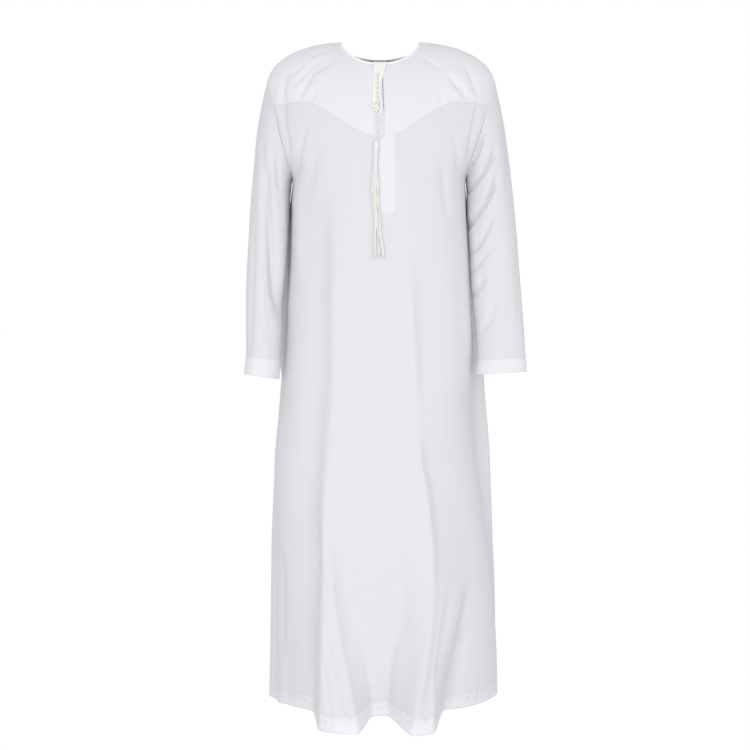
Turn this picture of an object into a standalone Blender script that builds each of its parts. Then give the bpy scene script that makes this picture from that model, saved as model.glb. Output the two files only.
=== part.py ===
"""Kandura: a long white robe with a round neck, a V yoke, cuffed sleeves and a neck tassel.

Metres, +Z up, the front faces -Y. The origin is the middle of the neck, level with the top of
the shoulder seams. Each piece of cloth is a wall of one form, the robe as it hangs on a general
figure: rings worked out from the tables below, with folds that stand proud of them. "left" and
"right" are the wearer's own, so the wearer's left is at +X.
"""

import math
from collections import namedtuple

import bmesh
import bpy
from mathutils import Vector

# ---- driving sizes -------------------------------------------------------------------------
SINGLE_CLOTH = 0.0010       # wall of one layer
DOUBLE_CLOTH = 0.0020       # wall of two layers sewn together: yoke, cuffs, hem
GAP = 0.0003                # between pieces that are sewn to each other
SHOULDER_GAP = 0.0006       # the same at the shoulder seam, where two walls turn over a ridge
SEAM_STRIP = 0.005          # narrow strip of faces along each seam

HEM_Z = -1.400
HEM_BAND = 0.029            # depth of the turned-up hem
ARMPIT_Z = -0.2925
ARMHOLE_TOP_Z = -0.080
ARMHOLE_BITE = 0.105        # how far the armhole cuts in, as a share of the half width

NECK_HALF_WIDTH = 0.0855    # of the cloth's edge; the binding stands inside it
NECK_FRONT_DROP = 0.069
NECK_BACK_DROP = 0.025

SHOULDER_X = 0.088          # the shoulder line starts to fall here
SHOULDER_DROP = 0.120       # height of the rounded end of the shoulder
SHOULDER_SLOPE = 1.6        # lower falls sooner, on the way out
SHOULDER_ROUND = 2.8        # higher is squarer at the end

CHEST_Z = -0.290            # the front is fully out here
FRONT_DEPTH = 0.135
BLADE_Z = -0.250            # the back is fully out here
BACK_DEPTH = 0.125
RING_POWER = 2.4            # roundness of a ring at the chest: 2 is an ellipse

YOKE_WING_Z = -0.149        # the yoke seam where it meets the armholes
YOKE_TIP_DROP = 0.079       # how much lower the tip of the V is
YOKE_HALF_WIDTH = 0.168     # the V starts to fall here

SLIT_TOP_X = 0.0047         # the neck slit is a little to the wearer's left, and leans
SLIT_LEAN = -0.0378         # change of X for each metre of height from z -0.100
SLIT_HALF = 0.0007
SLIT_GAPE = 0.0010          # how much more each edge stands off where the slit gapes most
SLIT_GAPE_Z = -0.134
SLIT_GAPE_REACH = 0.020
SLIT_END_Z = -0.190         # the two halves of the yoke meet below this

Width = namedtuple("Width", "z right left")
WIDTHS = (                  # how far the sides are from the middle plane
    Width(-0.120, 0.245, 0.249),
    Width(-0.145, 0.246, 0.248),
    Width(-0.180, 0.241, 0.242),
    Width(-0.209, 0.234, 0.232),
    Width(-0.258, 0.208, 0.204),
    Width(-0.2925, 0.188, 0.184),
    Width(-0.340, 0.1885, 0.183),
    Width(-0.450, 0.195, 0.1875),
    Width(-0.550, 0.2005, 0.192),
    Width(-0.650, 0.206, 0.199),
    Width(-0.800, 0.218, 0.198),
    Width(-0.900, 0.226, 0.207),
    Width(-1.000, 0.225, 0.221),
    Width(-1.150, 0.221, 0.242),
    Width(-1.300, 0.219, 0.2525),
    Width(-1.400, 0.219, 0.2555),
)

Depth = namedtuple("Depth", "z front back twist power")
DEPTHS = (    # how far the front and back are from y = 0, the ring's turn and its roundness
    Depth(-0.290, 0.1350, 0.1250, 0.00, 2.40),
    Depth(-0.330, 0.1353, 0.1246, 0.00, 2.40),
    Depth(-0.450, 0.1395, 0.1200, 0.00, 2.40),
    Depth(-0.650, 0.148, 0.136, 0.02, 2.35),
    Depth(-0.850, 0.154, 0.152, 0.04, 2.20),
    Depth(-1.050, 0.158, 0.168, 0.08, 2.10),
    Depth(-1.250, 0.160, 0.182, 0.11, 2.03),
    Depth(-1.400, 0.160, 0.190, 0.13, 2.00),
)

# A fold stands out between two soft edges, which are places along X on the front and back and
# along Y on the sides. The cloth of a fold of the front or back hangs a little lower.
FOLD_SAG = 0.135
Fold = namedtuple("Fold", "z start start_soft end end_soft rise")
FRONT_FOLDS = (
    (
        Fold(-0.750, -0.125, 0.030, -0.100, 0.030, 0.000),
        Fold(-0.900, -0.128, 0.028, -0.100, 0.030, 0.007),
        Fold(-1.050, -0.132, 0.025, -0.098, 0.025, 0.019),
        Fold(-1.150, -0.134, 0.022, -0.088, 0.022, 0.033),
        Fold(-1.250, -0.133, 0.018, -0.070, 0.030, 0.050),
        Fold(-1.340, -0.131, 0.013, -0.046, 0.024, 0.069),
        Fold(-1.400, -0.129, 0.010, -0.031, 0.015, 0.082),
    ),
    (
        Fold(-0.700, 0.055, 0.050, 0.105, 0.050, 0.000),
        Fold(-0.850, 0.062, 0.050, 0.115, 0.050, 0.007),
        Fold(-1.000, 0.070, 0.050, 0.135, 0.045, 0.018),
        Fold(-1.100, 0.075, 0.050, 0.150, 0.040, 0.031),
        Fold(-1.200, 0.070, 0.045, 0.160, 0.040, 0.051),
        Fold(-1.300, 0.053, 0.038, 0.137, 0.026, 0.077),
        Fold(-1.400, 0.039, 0.027, 0.118, 0.016, 0.102),
    ),
    (
        Fold(-1.000, -0.200, 0.014, -0.150, 0.040, 0.000),
        Fold(-1.200, -0.202, 0.015, -0.140, 0.045, -0.006),
        Fold(-1.400, -0.204, 0.015, -0.125, 0.045, -0.016),
    ),
    (
        Fold(-1.000, 0.170, 0.030, 0.210, 0.014, 0.000),
        Fold(-1.200, 0.165, 0.030, 0.226, 0.018, 0.002),
        Fold(-1.400, 0.155, 0.030, 0.216, 0.024, 0.005),
    ),
)
BACK_FOLDS = (
    (
        Fold(-0.750, -0.150, 0.045, -0.090, 0.045, 0.000),
        Fold(-1.000, -0.155, 0.040, -0.085, 0.040, 0.022),
        Fold(-1.200, -0.160, 0.035, -0.075, 0.035, 0.042),
        Fold(-1.400, -0.165, 0.030, -0.062, 0.032, 0.060),
    ),
    (
        Fold(-0.900, -0.010, 0.030, 0.030, 0.030, 0.000),
        Fold(-1.100, -0.015, 0.030, 0.035, 0.030, 0.016),
        Fold(-1.250, -0.022, 0.028, 0.040, 0.028, 0.032),
        Fold(-1.400, -0.028, 0.026, 0.045, 0.026, 0.045),
    ),
    (
        Fold(-0.700, 0.080, 0.045, 0.150, 0.045, 0.000),
        Fold(-0.950, 0.085, 0.042, 0.160, 0.042, 0.022),
        Fold(-1.200, 0.090, 0.036, 0.170, 0.038, 0.045),
        Fold(-1.400, 0.095, 0.032, 0.180, 0.034, 0.062),
    ),
)
RIGHT_FOLDS = (
    (
        Fold(-0.293, 0.048, 0.020, 0.120, 0.030, 0.000),
        Fold(-0.360, 0.044, 0.020, 0.125, 0.030, 0.026),
        Fold(-0.500, 0.042, 0.020, 0.130, 0.030, 0.028),
        Fold(-0.620, 0.038, 0.020, 0.130, 0.030, 0.027),
        Fold(-0.690, 0.038, 0.021, 0.130, 0.030, 0.021),
        Fold(-0.760, 0.040, 0.022, 0.130, 0.030, 0.000),
    ),
    (
        Fold(-0.800, 0.035, 0.022, 0.130, 0.030, 0.000),
        Fold(-0.950, 0.030, 0.022, 0.130, 0.030, 0.012),
        Fold(-1.100, 0.020, 0.022, 0.130, 0.030, 0.018),
        Fold(-1.400, 0.005, 0.022, 0.130, 0.030, 0.021),
    ),
)
LEFT_FOLDS = (
    (
        Fold(-0.293, 0.048, 0.020, 0.120, 0.030, 0.000),
        Fold(-0.360, 0.044, 0.020, 0.120, 0.030, 0.025),
        Fold(-0.500, 0.042, 0.020, 0.115, 0.030, 0.026),
        Fold(-0.640, 0.032, 0.020, 0.105, 0.030, 0.029),
        Fold(-0.740, 0.022, 0.020, 0.095, 0.030, 0.036),
        Fold(-0.850, 0.020, 0.018, 0.100, 0.030, 0.041),
        Fold(-1.000, 0.025, 0.020, 0.110, 0.030, 0.031),
        Fold(-1.120, 0.030, 0.022, 0.115, 0.030, 0.021),
        Fold(-1.400, 0.040, 0.025, 0.120, 0.030, 0.010),
    ),
)

# Sleeve rings, from the armhole to the edge of the cuff. "travel" is the way down the sleeve,
# "outer" and "inner" are the ring's two ends in X and Z, "middle" is its place in Y, and "half"
# is half its depth in Y.
Sleeve = namedtuple("Sleeve", "travel outer_x outer_z inner_x inner_z middle half")
RIGHT_SLEEVE = (
    Sleeve(0.000, 0.2410, -0.080, 0.1880, -0.2925, 0.000, 0.068),
    Sleeve(0.060, 0.2545, -0.140, 0.1900, -0.3020, 0.000, 0.070),
    Sleeve(0.120, 0.2645, -0.200, 0.1915, -0.3200, -0.001, 0.070),
    Sleeve(0.190, 0.2718, -0.270, 0.1930, -0.3500, -0.002, 0.069),
    Sleeve(0.270, 0.2778, -0.350, 0.1955, -0.4000, -0.006, 0.067),
    Sleeve(0.360, 0.2818, -0.440, 0.1990, -0.4650, -0.014, 0.063),
    Sleeve(0.450, 0.2845, -0.530, 0.2035, -0.5400, -0.028, 0.058),
    Sleeve(0.540, 0.2830, -0.610, 0.2065, -0.6180, -0.046, 0.053),
    Sleeve(0.593, 0.2810, -0.6735, 0.2095, -0.6835, -0.062, 0.0505),
    Sleeve(0.632, 0.2840, -0.7115, 0.2110, -0.7225, -0.072, 0.0500),
)
LEFT_SLEEVE = (
    Sleeve(0.000, 0.2440, -0.080, 0.1840, -0.2925, 0.000, 0.068),
    Sleeve(0.060, 0.2580, -0.140, 0.1850, -0.3020, 0.000, 0.070),
    Sleeve(0.120, 0.2700, -0.200, 0.1855, -0.3200, -0.001, 0.069),
    Sleeve(0.190, 0.2790, -0.270, 0.1860, -0.3500, -0.002, 0.066),
    Sleeve(0.270, 0.2868, -0.350, 0.1875, -0.4000, -0.006, 0.062),
    Sleeve(0.360, 0.2940, -0.440, 0.1905, -0.4650, -0.014, 0.056),
    Sleeve(0.450, 0.2993, -0.530, 0.1935, -0.5400, -0.028, 0.048),
    Sleeve(0.540, 0.3028, -0.610, 0.2020, -0.6180, -0.046, 0.041),
    Sleeve(0.597, 0.3050, -0.6780, 0.2045, -0.6830, -0.062, 0.0365),
    Sleeve(0.632, 0.3060, -0.7070, 0.2010, -0.7130, -0.070, 0.0350),
)
CUFF_DEPTH = {"right": 0.039, "left": 0.035}

# ---- numbers of faces ----------------------------------------------------------------------
SHOULDER_STEPS = 8          # along the shoulder seam
NECK_STEPS = 6              # from the shoulder seam to the neck opening
HALF_STEPS = SHOULDER_STEPS + NECK_STEPS
YOKE_STEPS = 6              # from the shoulder to the yoke seam
CHEST_STEPS = 4             # from the yoke seam to the armpit
SKIRT_LEVELS = (-0.2975, -0.385, -0.500, -0.620, -0.740, -0.850, -0.950, -1.040, -1.120,
                -1.200, -1.285, -1.366)
SLEEVE_TRAVELS = (0.000, 0.005, 0.050, 0.105, 0.165, 0.235, 0.305, 0.375, 0.445, 0.520)
SHOULDER_EASE = 2.2         # rows crowd towards the top of the shoulder, where it turns over
NECK_EASE = 2.0
NECK_TURN = 0.035
FINE = 800                  # points on a half ring before it is spread evenly

# ---- trim ----------------------------------------------------------------------------------
BINDING_RADIUS = 0.0017
BINDING_OFF = 0.0023                # from the edge of the cloth to the middle of the roll
FACING_SPAN = (0.0005, 0.0292)      # X of the strip behind the opening
FACING_BACK = 0.0033                # how far behind the robe's outer face it starts
FACING_END_Z = -0.384
FACING_ROWS = 9
TAB_OVER = 0.0038                   # how far it stands above the edge of the cloth
TAB_LIFT = 0.0016                   # how far out it passes over the binding
TAB_CLEAR = 0.0006
Tab = namedtuple("Tab", "share right left")
TAB = (                             # X of the ivory tab's edges at shares of its length
    Tab(0.00, -0.0142, 0.0122),
    Tab(0.15, -0.0142, 0.0110),
    Tab(0.34, -0.0146, 0.0060),
    Tab(0.60, -0.0152, 0.0008),
    Tab(1.00, -0.0154, -0.0010),
)
TAB_END_Z = -0.1560
TAB_ROWS = 9
CORD_X = -0.0056            # the cord hangs over the tab
CORD_RADIUS = 0.0019
CORD_STEPS = 5
CORD_SPAN_Z = (-0.0900, -0.1569)
CORD_LIFT = 0.0022          # its clear space from the robe, in front of the tab
KNOT_CENTRE = (-0.0086, -0.1656)
KNOT_HALF = (0.0078, 0.0046, 0.0090)
TRIM_CLEAR = 0.0010         # what hangs on the robe keeps this much clear of it

Trim = namedtuple("Trim", "z x half_width half_depth")
BRAID = (
    Trim(-0.1752, -0.0074, 0.0046, 0.0030),
    Trim(-0.1850, -0.0046, 0.0070, 0.0034),
    Trim(-0.1960, -0.0024, 0.0090, 0.0036),
    Trim(-0.2130, -0.0022, 0.0093, 0.0037),
    Trim(-0.2290, -0.0026, 0.0086, 0.0035),
    Trim(-0.2372, -0.0062, 0.0052, 0.0030),
)
TASSEL = (
    Trim(-0.2376, -0.0074, 0.0046, 0.0028),
    Trim(-0.2553, -0.0066, 0.0058, 0.0036),
    Trim(-0.2757, -0.0088, 0.0068, 0.0040),
    Trim(-0.2961, -0.0082, 0.0064, 0.0042),
    Trim(-0.3165, -0.0088, 0.0075, 0.0044),
    Trim(-0.3368, -0.0090, 0.0084, 0.0045),
    Trim(-0.3572, -0.0072, 0.0074, 0.0045),
    Trim(-0.3776, -0.0052, 0.0070, 0.0045),
    Trim(-0.3980, -0.0036, 0.0072, 0.0045),
    Trim(-0.4184, -0.0022, 0.0078, 0.0045),
    Trim(-0.4388, -0.0004, 0.0094, 0.0045),
    Trim(-0.4592, -0.0002, 0.0112, 0.0045),
    Trim(-0.4810, 0.0006, 0.0120, 0.0040),
)
TRIM_SIDES = 8

CLOTH_COLOUR = (0.82, 0.81, 0.85, 1.0)
DOUBLE_COLOUR = (0.87, 0.86, 0.90, 1.0)
IVORY_COLOUR = (0.88, 0.84, 0.76, 1.0)


# ---- tables --------------------------------------------------------------------------------
def at(table, place):
    """The row of a table at a place between its rows, by a smooth curve through them."""
    keys = [row[0] for row in table]
    falling = keys[0] > keys[-1]
    if falling:
        keys = [-key for key in keys]
        place = -place
    place = min(max(place, keys[0]), keys[-1])
    low = max(i for i in range(len(keys) - 1) if keys[i] <= place)
    high = low + 1
    span = keys[high] - keys[low]
    t = (place - keys[low]) / span

    def slope(column, row):
        before, after = max(row - 1, 0), min(row + 1, len(keys) - 1)
        return (table[after][column] - table[before][column]) / (keys[after] - keys[before])

    values = [-place if falling else place]
    for column in range(1, len(table[0])):
        values.append(
            table[low][column] * (1 + 2 * t) * (1 - t) ** 2
            + slope(column, low) * span * t * (1 - t) ** 2
            + table[high][column] * (3 - 2 * t) * t ** 2
            + slope(column, high) * span * (t - 1) * t ** 2
        )
    return type(table[0])(*values)


def soft_step(place, middle, soft):
    """0 before a soft edge and 1 after it."""
    t = min(max((place - middle + soft) / (2 * soft), 0.0), 1.0)
    return t * t * (3 - 2 * t)


def proud(folds, z, place):
    """How far the folds of one side stand out of the ring."""
    total = 0.0
    for fold in folds:
        if z < fold[0].z:
            row = at(fold, z)
            total += row.rise * (soft_step(place, row.start, row.start_soft)
                                 - soft_step(place, row.end, row.end_soft))
    return total


# ---- the form of the body ------------------------------------------------------------------
def half_width(z, side):
    """Half the width of the ring at a height, on one side."""
    end = WIDTHS[0].left if side > 0 else WIDTHS[0].right
    if z > WIDTHS[0].z:
        level = min(max(1 + z / SHOULDER_DROP, 0.0), 1.0)
        share = (1 - level ** SHOULDER_ROUND) ** (1 / SHOULDER_SLOPE)
        return SHOULDER_X + (end - SHOULDER_X) * share
    row = at(WIDTHS, z)
    return row.left if side > 0 else row.right


def shoulder_z(x):
    """Height of the top of the shoulder at a distance from the middle."""
    end = WIDTHS[0].left if x > 0 else WIDTHS[0].right
    share = min(max((abs(x) - SHOULDER_X) / (end - SHOULDER_X), 0.0), 1.0)
    return -SHOULDER_DROP * (1 - (1 - share ** SHOULDER_SLOPE) ** (1 / SHOULDER_ROUND))


def half_depth(z, front):
    """Half the depth of the ring at a height, at the front or the back."""
    full_z = CHEST_Z if front else BLADE_Z
    if z > full_z:
        level = min(max(1 - z / full_z, 0.0), 1.0)
        return (FRONT_DEPTH if front else BACK_DEPTH) * math.sqrt(1 - level ** 2)
    row = at(DEPTHS, min(z, CHEST_Z))
    return row.front if front else row.back


def sheet_y(x, z, front):
    """The Y of the front or back of the robe above the armpits."""
    share = min(abs(x) / half_width(z, x), 1.0)
    depth = half_depth(z, front) * (1 - share ** RING_POWER) ** (1 / RING_POWER)
    return -depth if front else depth


def armhole_x(z, side):
    """Where the armhole seam is at a height."""
    t = min(max((z - ARMHOLE_TOP_Z) / (ARMPIT_Z - ARMHOLE_TOP_Z), 0.0), 1.0)
    return side * half_width(z, side) * (1 - ARMHOLE_BITE * (4 * t * (1 - t)) ** 1.2)


def neck_z(x, front):
    """Height of the neckline at a distance from the middle."""
    drop = NECK_FRONT_DROP if front else NECK_BACK_DROP
    share = min(abs(x) / NECK_HALF_WIDTH, 1.0)
    return -drop * math.sqrt(1 - share ** 2)


def yoke_z(x):
    """Height of the V seam."""
    share = min(abs(x) / YOKE_HALF_WIDTH, 1.0)
    return YOKE_WING_Z - YOKE_TIP_DROP * math.cos(share * math.pi / 2) ** 2


def ring_point(z, angle, front):
    """A point of a ring below the armpits. The angle runs from -X, over the side, to +X."""
    side = -1 if angle < math.pi / 2 else 1
    depth = at(DEPTHS, min(z, CHEST_Z))
    power = 2 / depth.power
    x = side * half_width(z, side) * abs(math.cos(angle)) ** power
    out = math.sin(angle) ** power
    y = -depth.front * out if front else depth.back * out
    stand = proud(FRONT_FOLDS if front else BACK_FOLDS, z, x)
    y_turned = y + depth.twist * x + (-stand if front else stand)
    side_folds = LEFT_FOLDS if side > 0 else RIGHT_FOLDS
    return Vector((x + side * proud(side_folds, z, y), y_turned, z - FOLD_SAG * stand))


# ---- rows of points ------------------------------------------------------------------------
def steps_of(length, count, strips=(True, True)):
    """Distances along an edge: even steps, with a narrow strip at either end."""
    start = SEAM_STRIP if strips[0] else 0.0
    end = length - SEAM_STRIP if strips[1] else length
    inner = count - strips[0] - strips[1]
    places = [start + (end - start) * i / inner for i in range(inner + 1)]
    if strips[0]:
        places.insert(0, 0.0)
    if strips[1]:
        places.append(length)
    return places


def travel_of(line):
    """The distance along a line to each of its points."""
    travel = [0.0]
    for before, after in zip(line, line[1:]):
        travel.append(travel[-1] + (after - before).length)
    return travel


def points_at(line, places):
    """Points at distances along a fine line."""
    travel = travel_of(line)
    points = []
    i = 0
    for place in places:
        while i < len(line) - 2 and travel[i + 1] < place:
            i += 1
        t = (place - travel[i]) / max(travel[i + 1] - travel[i], 1e-9)
        points.append(line[i].lerp(line[i + 1], min(max(t, 0.0), 1.0)))
    return points


def spread(line, count):
    """Points spread evenly along a fine line, with a narrow strip at each end."""
    return points_at(line, steps_of(travel_of(line)[-1], count))


def fine_steps(count):
    """Steps from 0 to 1 that are fine near 0, where a ring turns round its side."""
    return [1 - math.cos(math.pi / 2 * i / count) for i in range(count + 1)]


def slit_edge(z, side):
    """X of one edge of the neck slit at a height, or of the halves' join below the slit."""
    middle = SLIT_TOP_X + SLIT_LEAN * (max(z, SLIT_END_Z) + 0.100)
    gape = SLIT_GAPE * math.exp(-((z - SLIT_GAPE_Z) / SLIT_GAPE_REACH) ** 2)
    opened = soft_step(z, SLIT_END_Z, 0.008)
    return middle + side * (GAP / 2 + (SLIT_HALF + gape - GAP / 2) * opened)


def half_line(side, middle_x, point):
    """A fine line from one side's edge to the middle, from a rule for X to point."""
    return [point(t, side, middle_x) for t in fine_steps(FINE)]


def sheet_point(edge_z, line_z, t, side, middle_x, front):
    """A point of a row above the armpits, whose edge is on the armhole."""
    edge_x = armhole_x(edge_z, side)
    x = edge_x + (middle_x - edge_x) * t
    z = line_z(x)
    return Vector((x, sheet_y(x, z, front), z))


def top_row(side, middle_x, front):
    """The upper edge of a front or back: the shoulder seam's line, then the neckline's."""
    edge_x = armhole_x(ARMHOLE_TOP_Z, side)
    neck_x = side * NECK_HALF_WIDTH
    shoulder = []
    for i in range(FINE + 1):
        x = edge_x + (neck_x - edge_x) * i / FINE
        shoulder.append(Vector((x, 0.0, shoulder_z(x))))
    neck = []
    end_angle = math.asin(middle_x / neck_x)
    for i in range(FINE + 1):
        angle = math.pi / 2 + (end_angle - math.pi / 2) * i / FINE
        x = neck_x * math.sin(angle)
        z = neck_z(x, front)
        neck.append(Vector((x, sheet_y(x, z, front), z)))
    shoulder_places = steps_of(travel_of(shoulder)[-1], SHOULDER_STEPS, (True, False))
    neck_places = steps_of(travel_of(neck)[-1], NECK_STEPS, (False, True))
    return points_at(shoulder, shoulder_places)[:-1] + points_at(neck, neck_places)


def armhole_z(share):
    """Height of the armhole's end of a row of the yoke."""
    return ARMHOLE_TOP_Z + (YOKE_WING_Z - ARMHOLE_TOP_Z) * share ** SHOULDER_EASE


def yoke_row(share, side, middle_x, front):
    """A row of the yoke, or of the back at its height, from the armhole to the middle."""
    top = top_row(side, middle_x, front)
    low = chest_row(0.0, side, middle_x, front)
    row = []
    for upper, lower in zip(top, low):
        turning = soft_step(neck_z(upper.x, front), -NECK_TURN, NECK_TURN)
        ease = NECK_EASE + (SHOULDER_EASE - NECK_EASE) * turning
        row.append(upper.lerp(lower, share ** ease))
    off = armhole_x(row[0].z, side) - row[0].x
    for i, point in enumerate(row):
        point.x += off * (1 - i / HALF_STEPS) ** 2
        point.y = sheet_y(point.x, point.z, front)
    return row


def armhole_point(z, side, front):
    """A point of the armhole seam."""
    x = armhole_x(z, side)
    return Vector((x, sheet_y(x, z, front), z))


def chest_row(share, side, middle_x, front):
    """A row between the yoke's height and the armpit."""
    edge_z = YOKE_WING_Z + (ARMPIT_Z - YOKE_WING_Z) * share

    def height(x):
        low = yoke_z(x) if front else YOKE_WING_Z
        return low + (ARMPIT_Z - low) * share

    line = half_line(side, middle_x,
                     lambda t, s, m: sheet_point(edge_z, height, t, s, m, front))
    line[0] = armhole_point(edge_z, side, front)
    return spread(line, HALF_STEPS)


def skirt_row(z, side, middle_x, front):
    """A row below the armpits, from the side seam to the middle."""
    line = []
    for i in range(2 * FINE + 1):
        angle = math.pi * i / (2 * FINE)
        if side > 0:
            angle = math.pi - angle
        line.append(ring_point(z, angle, front))
        if (line[-1].x - middle_x) * side < 0:
            break
    last, before = line[-1], line[-2]
    t = (middle_x - before.x) / (last.x - before.x)
    line[-1] = before.lerp(last, t)
    return spread(line, HALF_STEPS)


def shares(count):
    """Shares of a span with narrow first and last steps."""
    return [0.0, 0.05] + [0.05 + 0.90 * i / (count - 2) for i in range(1, count - 2)] + [0.95, 1.0]


# ---- meshes --------------------------------------------------------------------------------
def pull_in(rows, top=False, bottom=False, start=False, end=False):
    """Move a sheet's edges in by half a gap, so that sewn pieces don't touch."""
    rows = [[point.copy() for point in row] for row in rows]

    def move(edge, inner):
        way = inner - edge
        return edge + way * (GAP / 2 / way.length)

    if top:
        rows[0] = [move(a, b) for a, b in zip(rows[0], rows[1])]
    if bottom:
        rows[-1] = [move(a, b) for a, b in zip(rows[-1], rows[-2])]
    for row in rows:
        if start:
            row[0] = move(row[0], row[1])
        if end:
            row[-1] = move(row[-1], row[-2])
    return rows


def sheet_mesh(name, grids, closed=False):
    """An open surface through one or more grids of points, joined where they meet."""
    mesh = bpy.data.meshes.new(name)
    bm = bmesh.new()
    for rows in grids:
        verts = [[bm.verts.new(point) for point in row] for row in rows]
        width = len(rows[0])
        columns = width if closed else width - 1
        for upper, lower in zip(verts, verts[1:]):
            for i in range(columns):
                j = (i + 1) % width
                bm.faces.new((upper[i], lower[i], lower[j], upper[j]))
    bmesh.ops.remove_doubles(bm, verts=bm.verts, dist=0.00002)
    bm.to_mesh(mesh)
    bm.free()
    return mesh


def material(name, colour, roughness):
    """A plain finish."""
    finish = bpy.data.materials.get(name)
    if finish is None:
        finish = bpy.data.materials.new(name)
        finish.use_nodes = True
        shader = finish.node_tree.nodes["Principled BSDF"]
        shader.inputs["Base Color"].default_value = colour
        shader.inputs["Roughness"].default_value = roughness
        shader.inputs["Metallic"].default_value = 0.0
    return finish


def single_cloth():
    """One layer of the robe's cloth."""
    return material("single_cloth", CLOTH_COLOUR, 0.75)


def double_cloth():
    """Two layers sewn together, which let less light through."""
    return material("double_cloth", DOUBLE_COLOUR, 0.72)


def ivory():
    """The thread of the tab and the tassel."""
    return material("ivory_thread", IVORY_COLOUR, 0.45)


def add_piece(collection, name, mesh, finish):
    """Put a mesh in the robe's collection with its finish."""
    piece = bpy.data.objects.new(name, mesh)
    mesh.materials.append(finish)
    mesh.shade_smooth()
    collection.objects.link(piece)
    return piece


def add_cloth(collection, name, grids, wall, finish, closed=False, outward=False):
    """A wall of cloth whose outer face is the given surface, or its inner one if outward."""
    piece = add_piece(collection, name, sheet_mesh(name, grids, closed), finish)
    shell = piece.modifiers.new("wall", "SOLIDIFY")
    shell.thickness = wall
    shell.offset = 1.0 if outward else -1.0
    shell.use_rim = True
    return piece


def turned(rows):
    """The same sheet with its faces the other way round."""
    return [list(reversed(row)) for row in rows]


# ---- the robe ------------------------------------------------------------------------------
def yoke_half(side):
    """Rows of one half of the front yoke, up to its edge of the slit."""
    rows = []
    for share in shares(YOKE_STEPS):
        row = yoke_row(share, side, slit_edge(SLIT_END_Z, side), True)
        end = row[-1]
        off = slit_edge(end.z, side) - end.x
        for i, point in enumerate(row):
            point.x += off * (i / HALF_STEPS) ** 12
            point.y = sheet_y(point.x, point.z, True)
        rows.append(row)
    return rows


def whole_rows(part_rows):
    """Rows across a whole piece, from a rule for the rows of one side."""
    return [right + list(reversed(left))[1:]
            for right, left in zip(part_rows(-1), part_rows(1))]


def build_yokes(collection):
    """The two halves of the front yoke, in double cloth."""
    for name, rows in (("yoke_right", yoke_half(-1)), ("yoke_left", turned(yoke_half(1)))):
        outer_at_start = name == "yoke_right"
        rows = pull_in(rows, bottom=True, start=outer_at_start, end=not outer_at_start)
        rows = drop_shoulder_edge(rows)
        add_cloth(collection, name, [rows], DOUBLE_CLOTH, double_cloth())


def drop_shoulder_edge(rows):
    """Set the shoulder seam's edge back by half a gap; the neckline stays."""
    rows = [list(row) for row in rows]
    for i, point in enumerate(rows[0]):
        if abs(point.x) >= NECK_HALF_WIDTH - 0.00001:
            way = rows[1][i] - point
            rows[0][i] = point + way * (SHOULDER_GAP / 2 / way.length)
    return rows


def build_front(collection):
    """The front below the V seam, in one piece."""
    middle = slit_edge(SLIT_END_Z, 0)

    def part_rows(side):
        rows = [chest_row(share, side, middle, True) for share in shares(CHEST_STEPS)]
        return rows + [skirt_row(z, side, middle, True)
                       for z in SKIRT_LEVELS + (HEM_Z + HEM_BAND,)]

    rows = pull_in(whole_rows(part_rows), top=True, bottom=True, start=True, end=True)
    add_cloth(collection, "front_panel", [rows], SINGLE_CLOTH, single_cloth())


def build_back(collection):
    """The back, in one piece from the shoulder seams to the hem band."""

    def part_rows(side):
        rows = [yoke_row(share, side, 0.0, False) for share in shares(YOKE_STEPS)]
        rows += [chest_row(share, side, 0.0, False) for share in shares(CHEST_STEPS)][1:]
        return rows + [skirt_row(z, side, 0.0, False)
                       for z in SKIRT_LEVELS + (HEM_Z + HEM_BAND,)]

    rows = pull_in(whole_rows(part_rows), bottom=True, start=True, end=True)
    rows = drop_shoulder_edge(rows)
    add_cloth(collection, "back_panel", [turned(rows)], SINGLE_CLOTH, single_cloth())


def build_hem(collection):
    """The hem, turned up and stitched: a band of double cloth at the front and the back."""
    levels = (HEM_Z + HEM_BAND, HEM_Z + HEM_BAND - SEAM_STRIP, HEM_Z)
    for name, middle, front in (("hem_front", slit_edge(SLIT_END_Z, 0), True),
                                ("hem_back", 0.0, False)):
        rows = whole_rows(lambda side: [skirt_row(z, side, middle, front) for z in levels])
        rows = pull_in(rows, top=True, start=True, end=True)
        add_cloth(collection, name, [rows if front else turned(rows)], DOUBLE_CLOTH,
                  double_cloth())


def armhole_ring(side):
    """The armhole seam's points, from the shoulder down the front and up the back."""
    levels = [armhole_z(share) for share in shares(YOKE_STEPS)]
    levels += [YOKE_WING_Z + (ARMPIT_Z - YOKE_WING_Z) * share
               for share in shares(CHEST_STEPS)][1:]
    front = [armhole_point(z, side, True) for z in levels]
    back = [armhole_point(z, side, False) for z in levels]
    return front + list(reversed(back))[1:-1]


def sleeve_ring(row, side, places):
    """A ring of a sleeve: an ellipse in a plane that leans with the sleeve."""
    outer = Vector((side * row.outer_x, row.middle, row.outer_z))
    inner = Vector((side * row.inner_x, row.middle, row.inner_z))
    centre = (outer + inner) / 2
    across = (outer - inner) / 2
    line = []
    for i in range(2 * FINE + 1):
        angle = math.pi * i / FINE
        line.append(centre + across * math.cos(angle)
                    + Vector((0.0, -row.half * math.sin(angle), 0.0)))
    length = travel_of(line)[-1]
    return points_at(line, [place * length for place in places])


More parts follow.
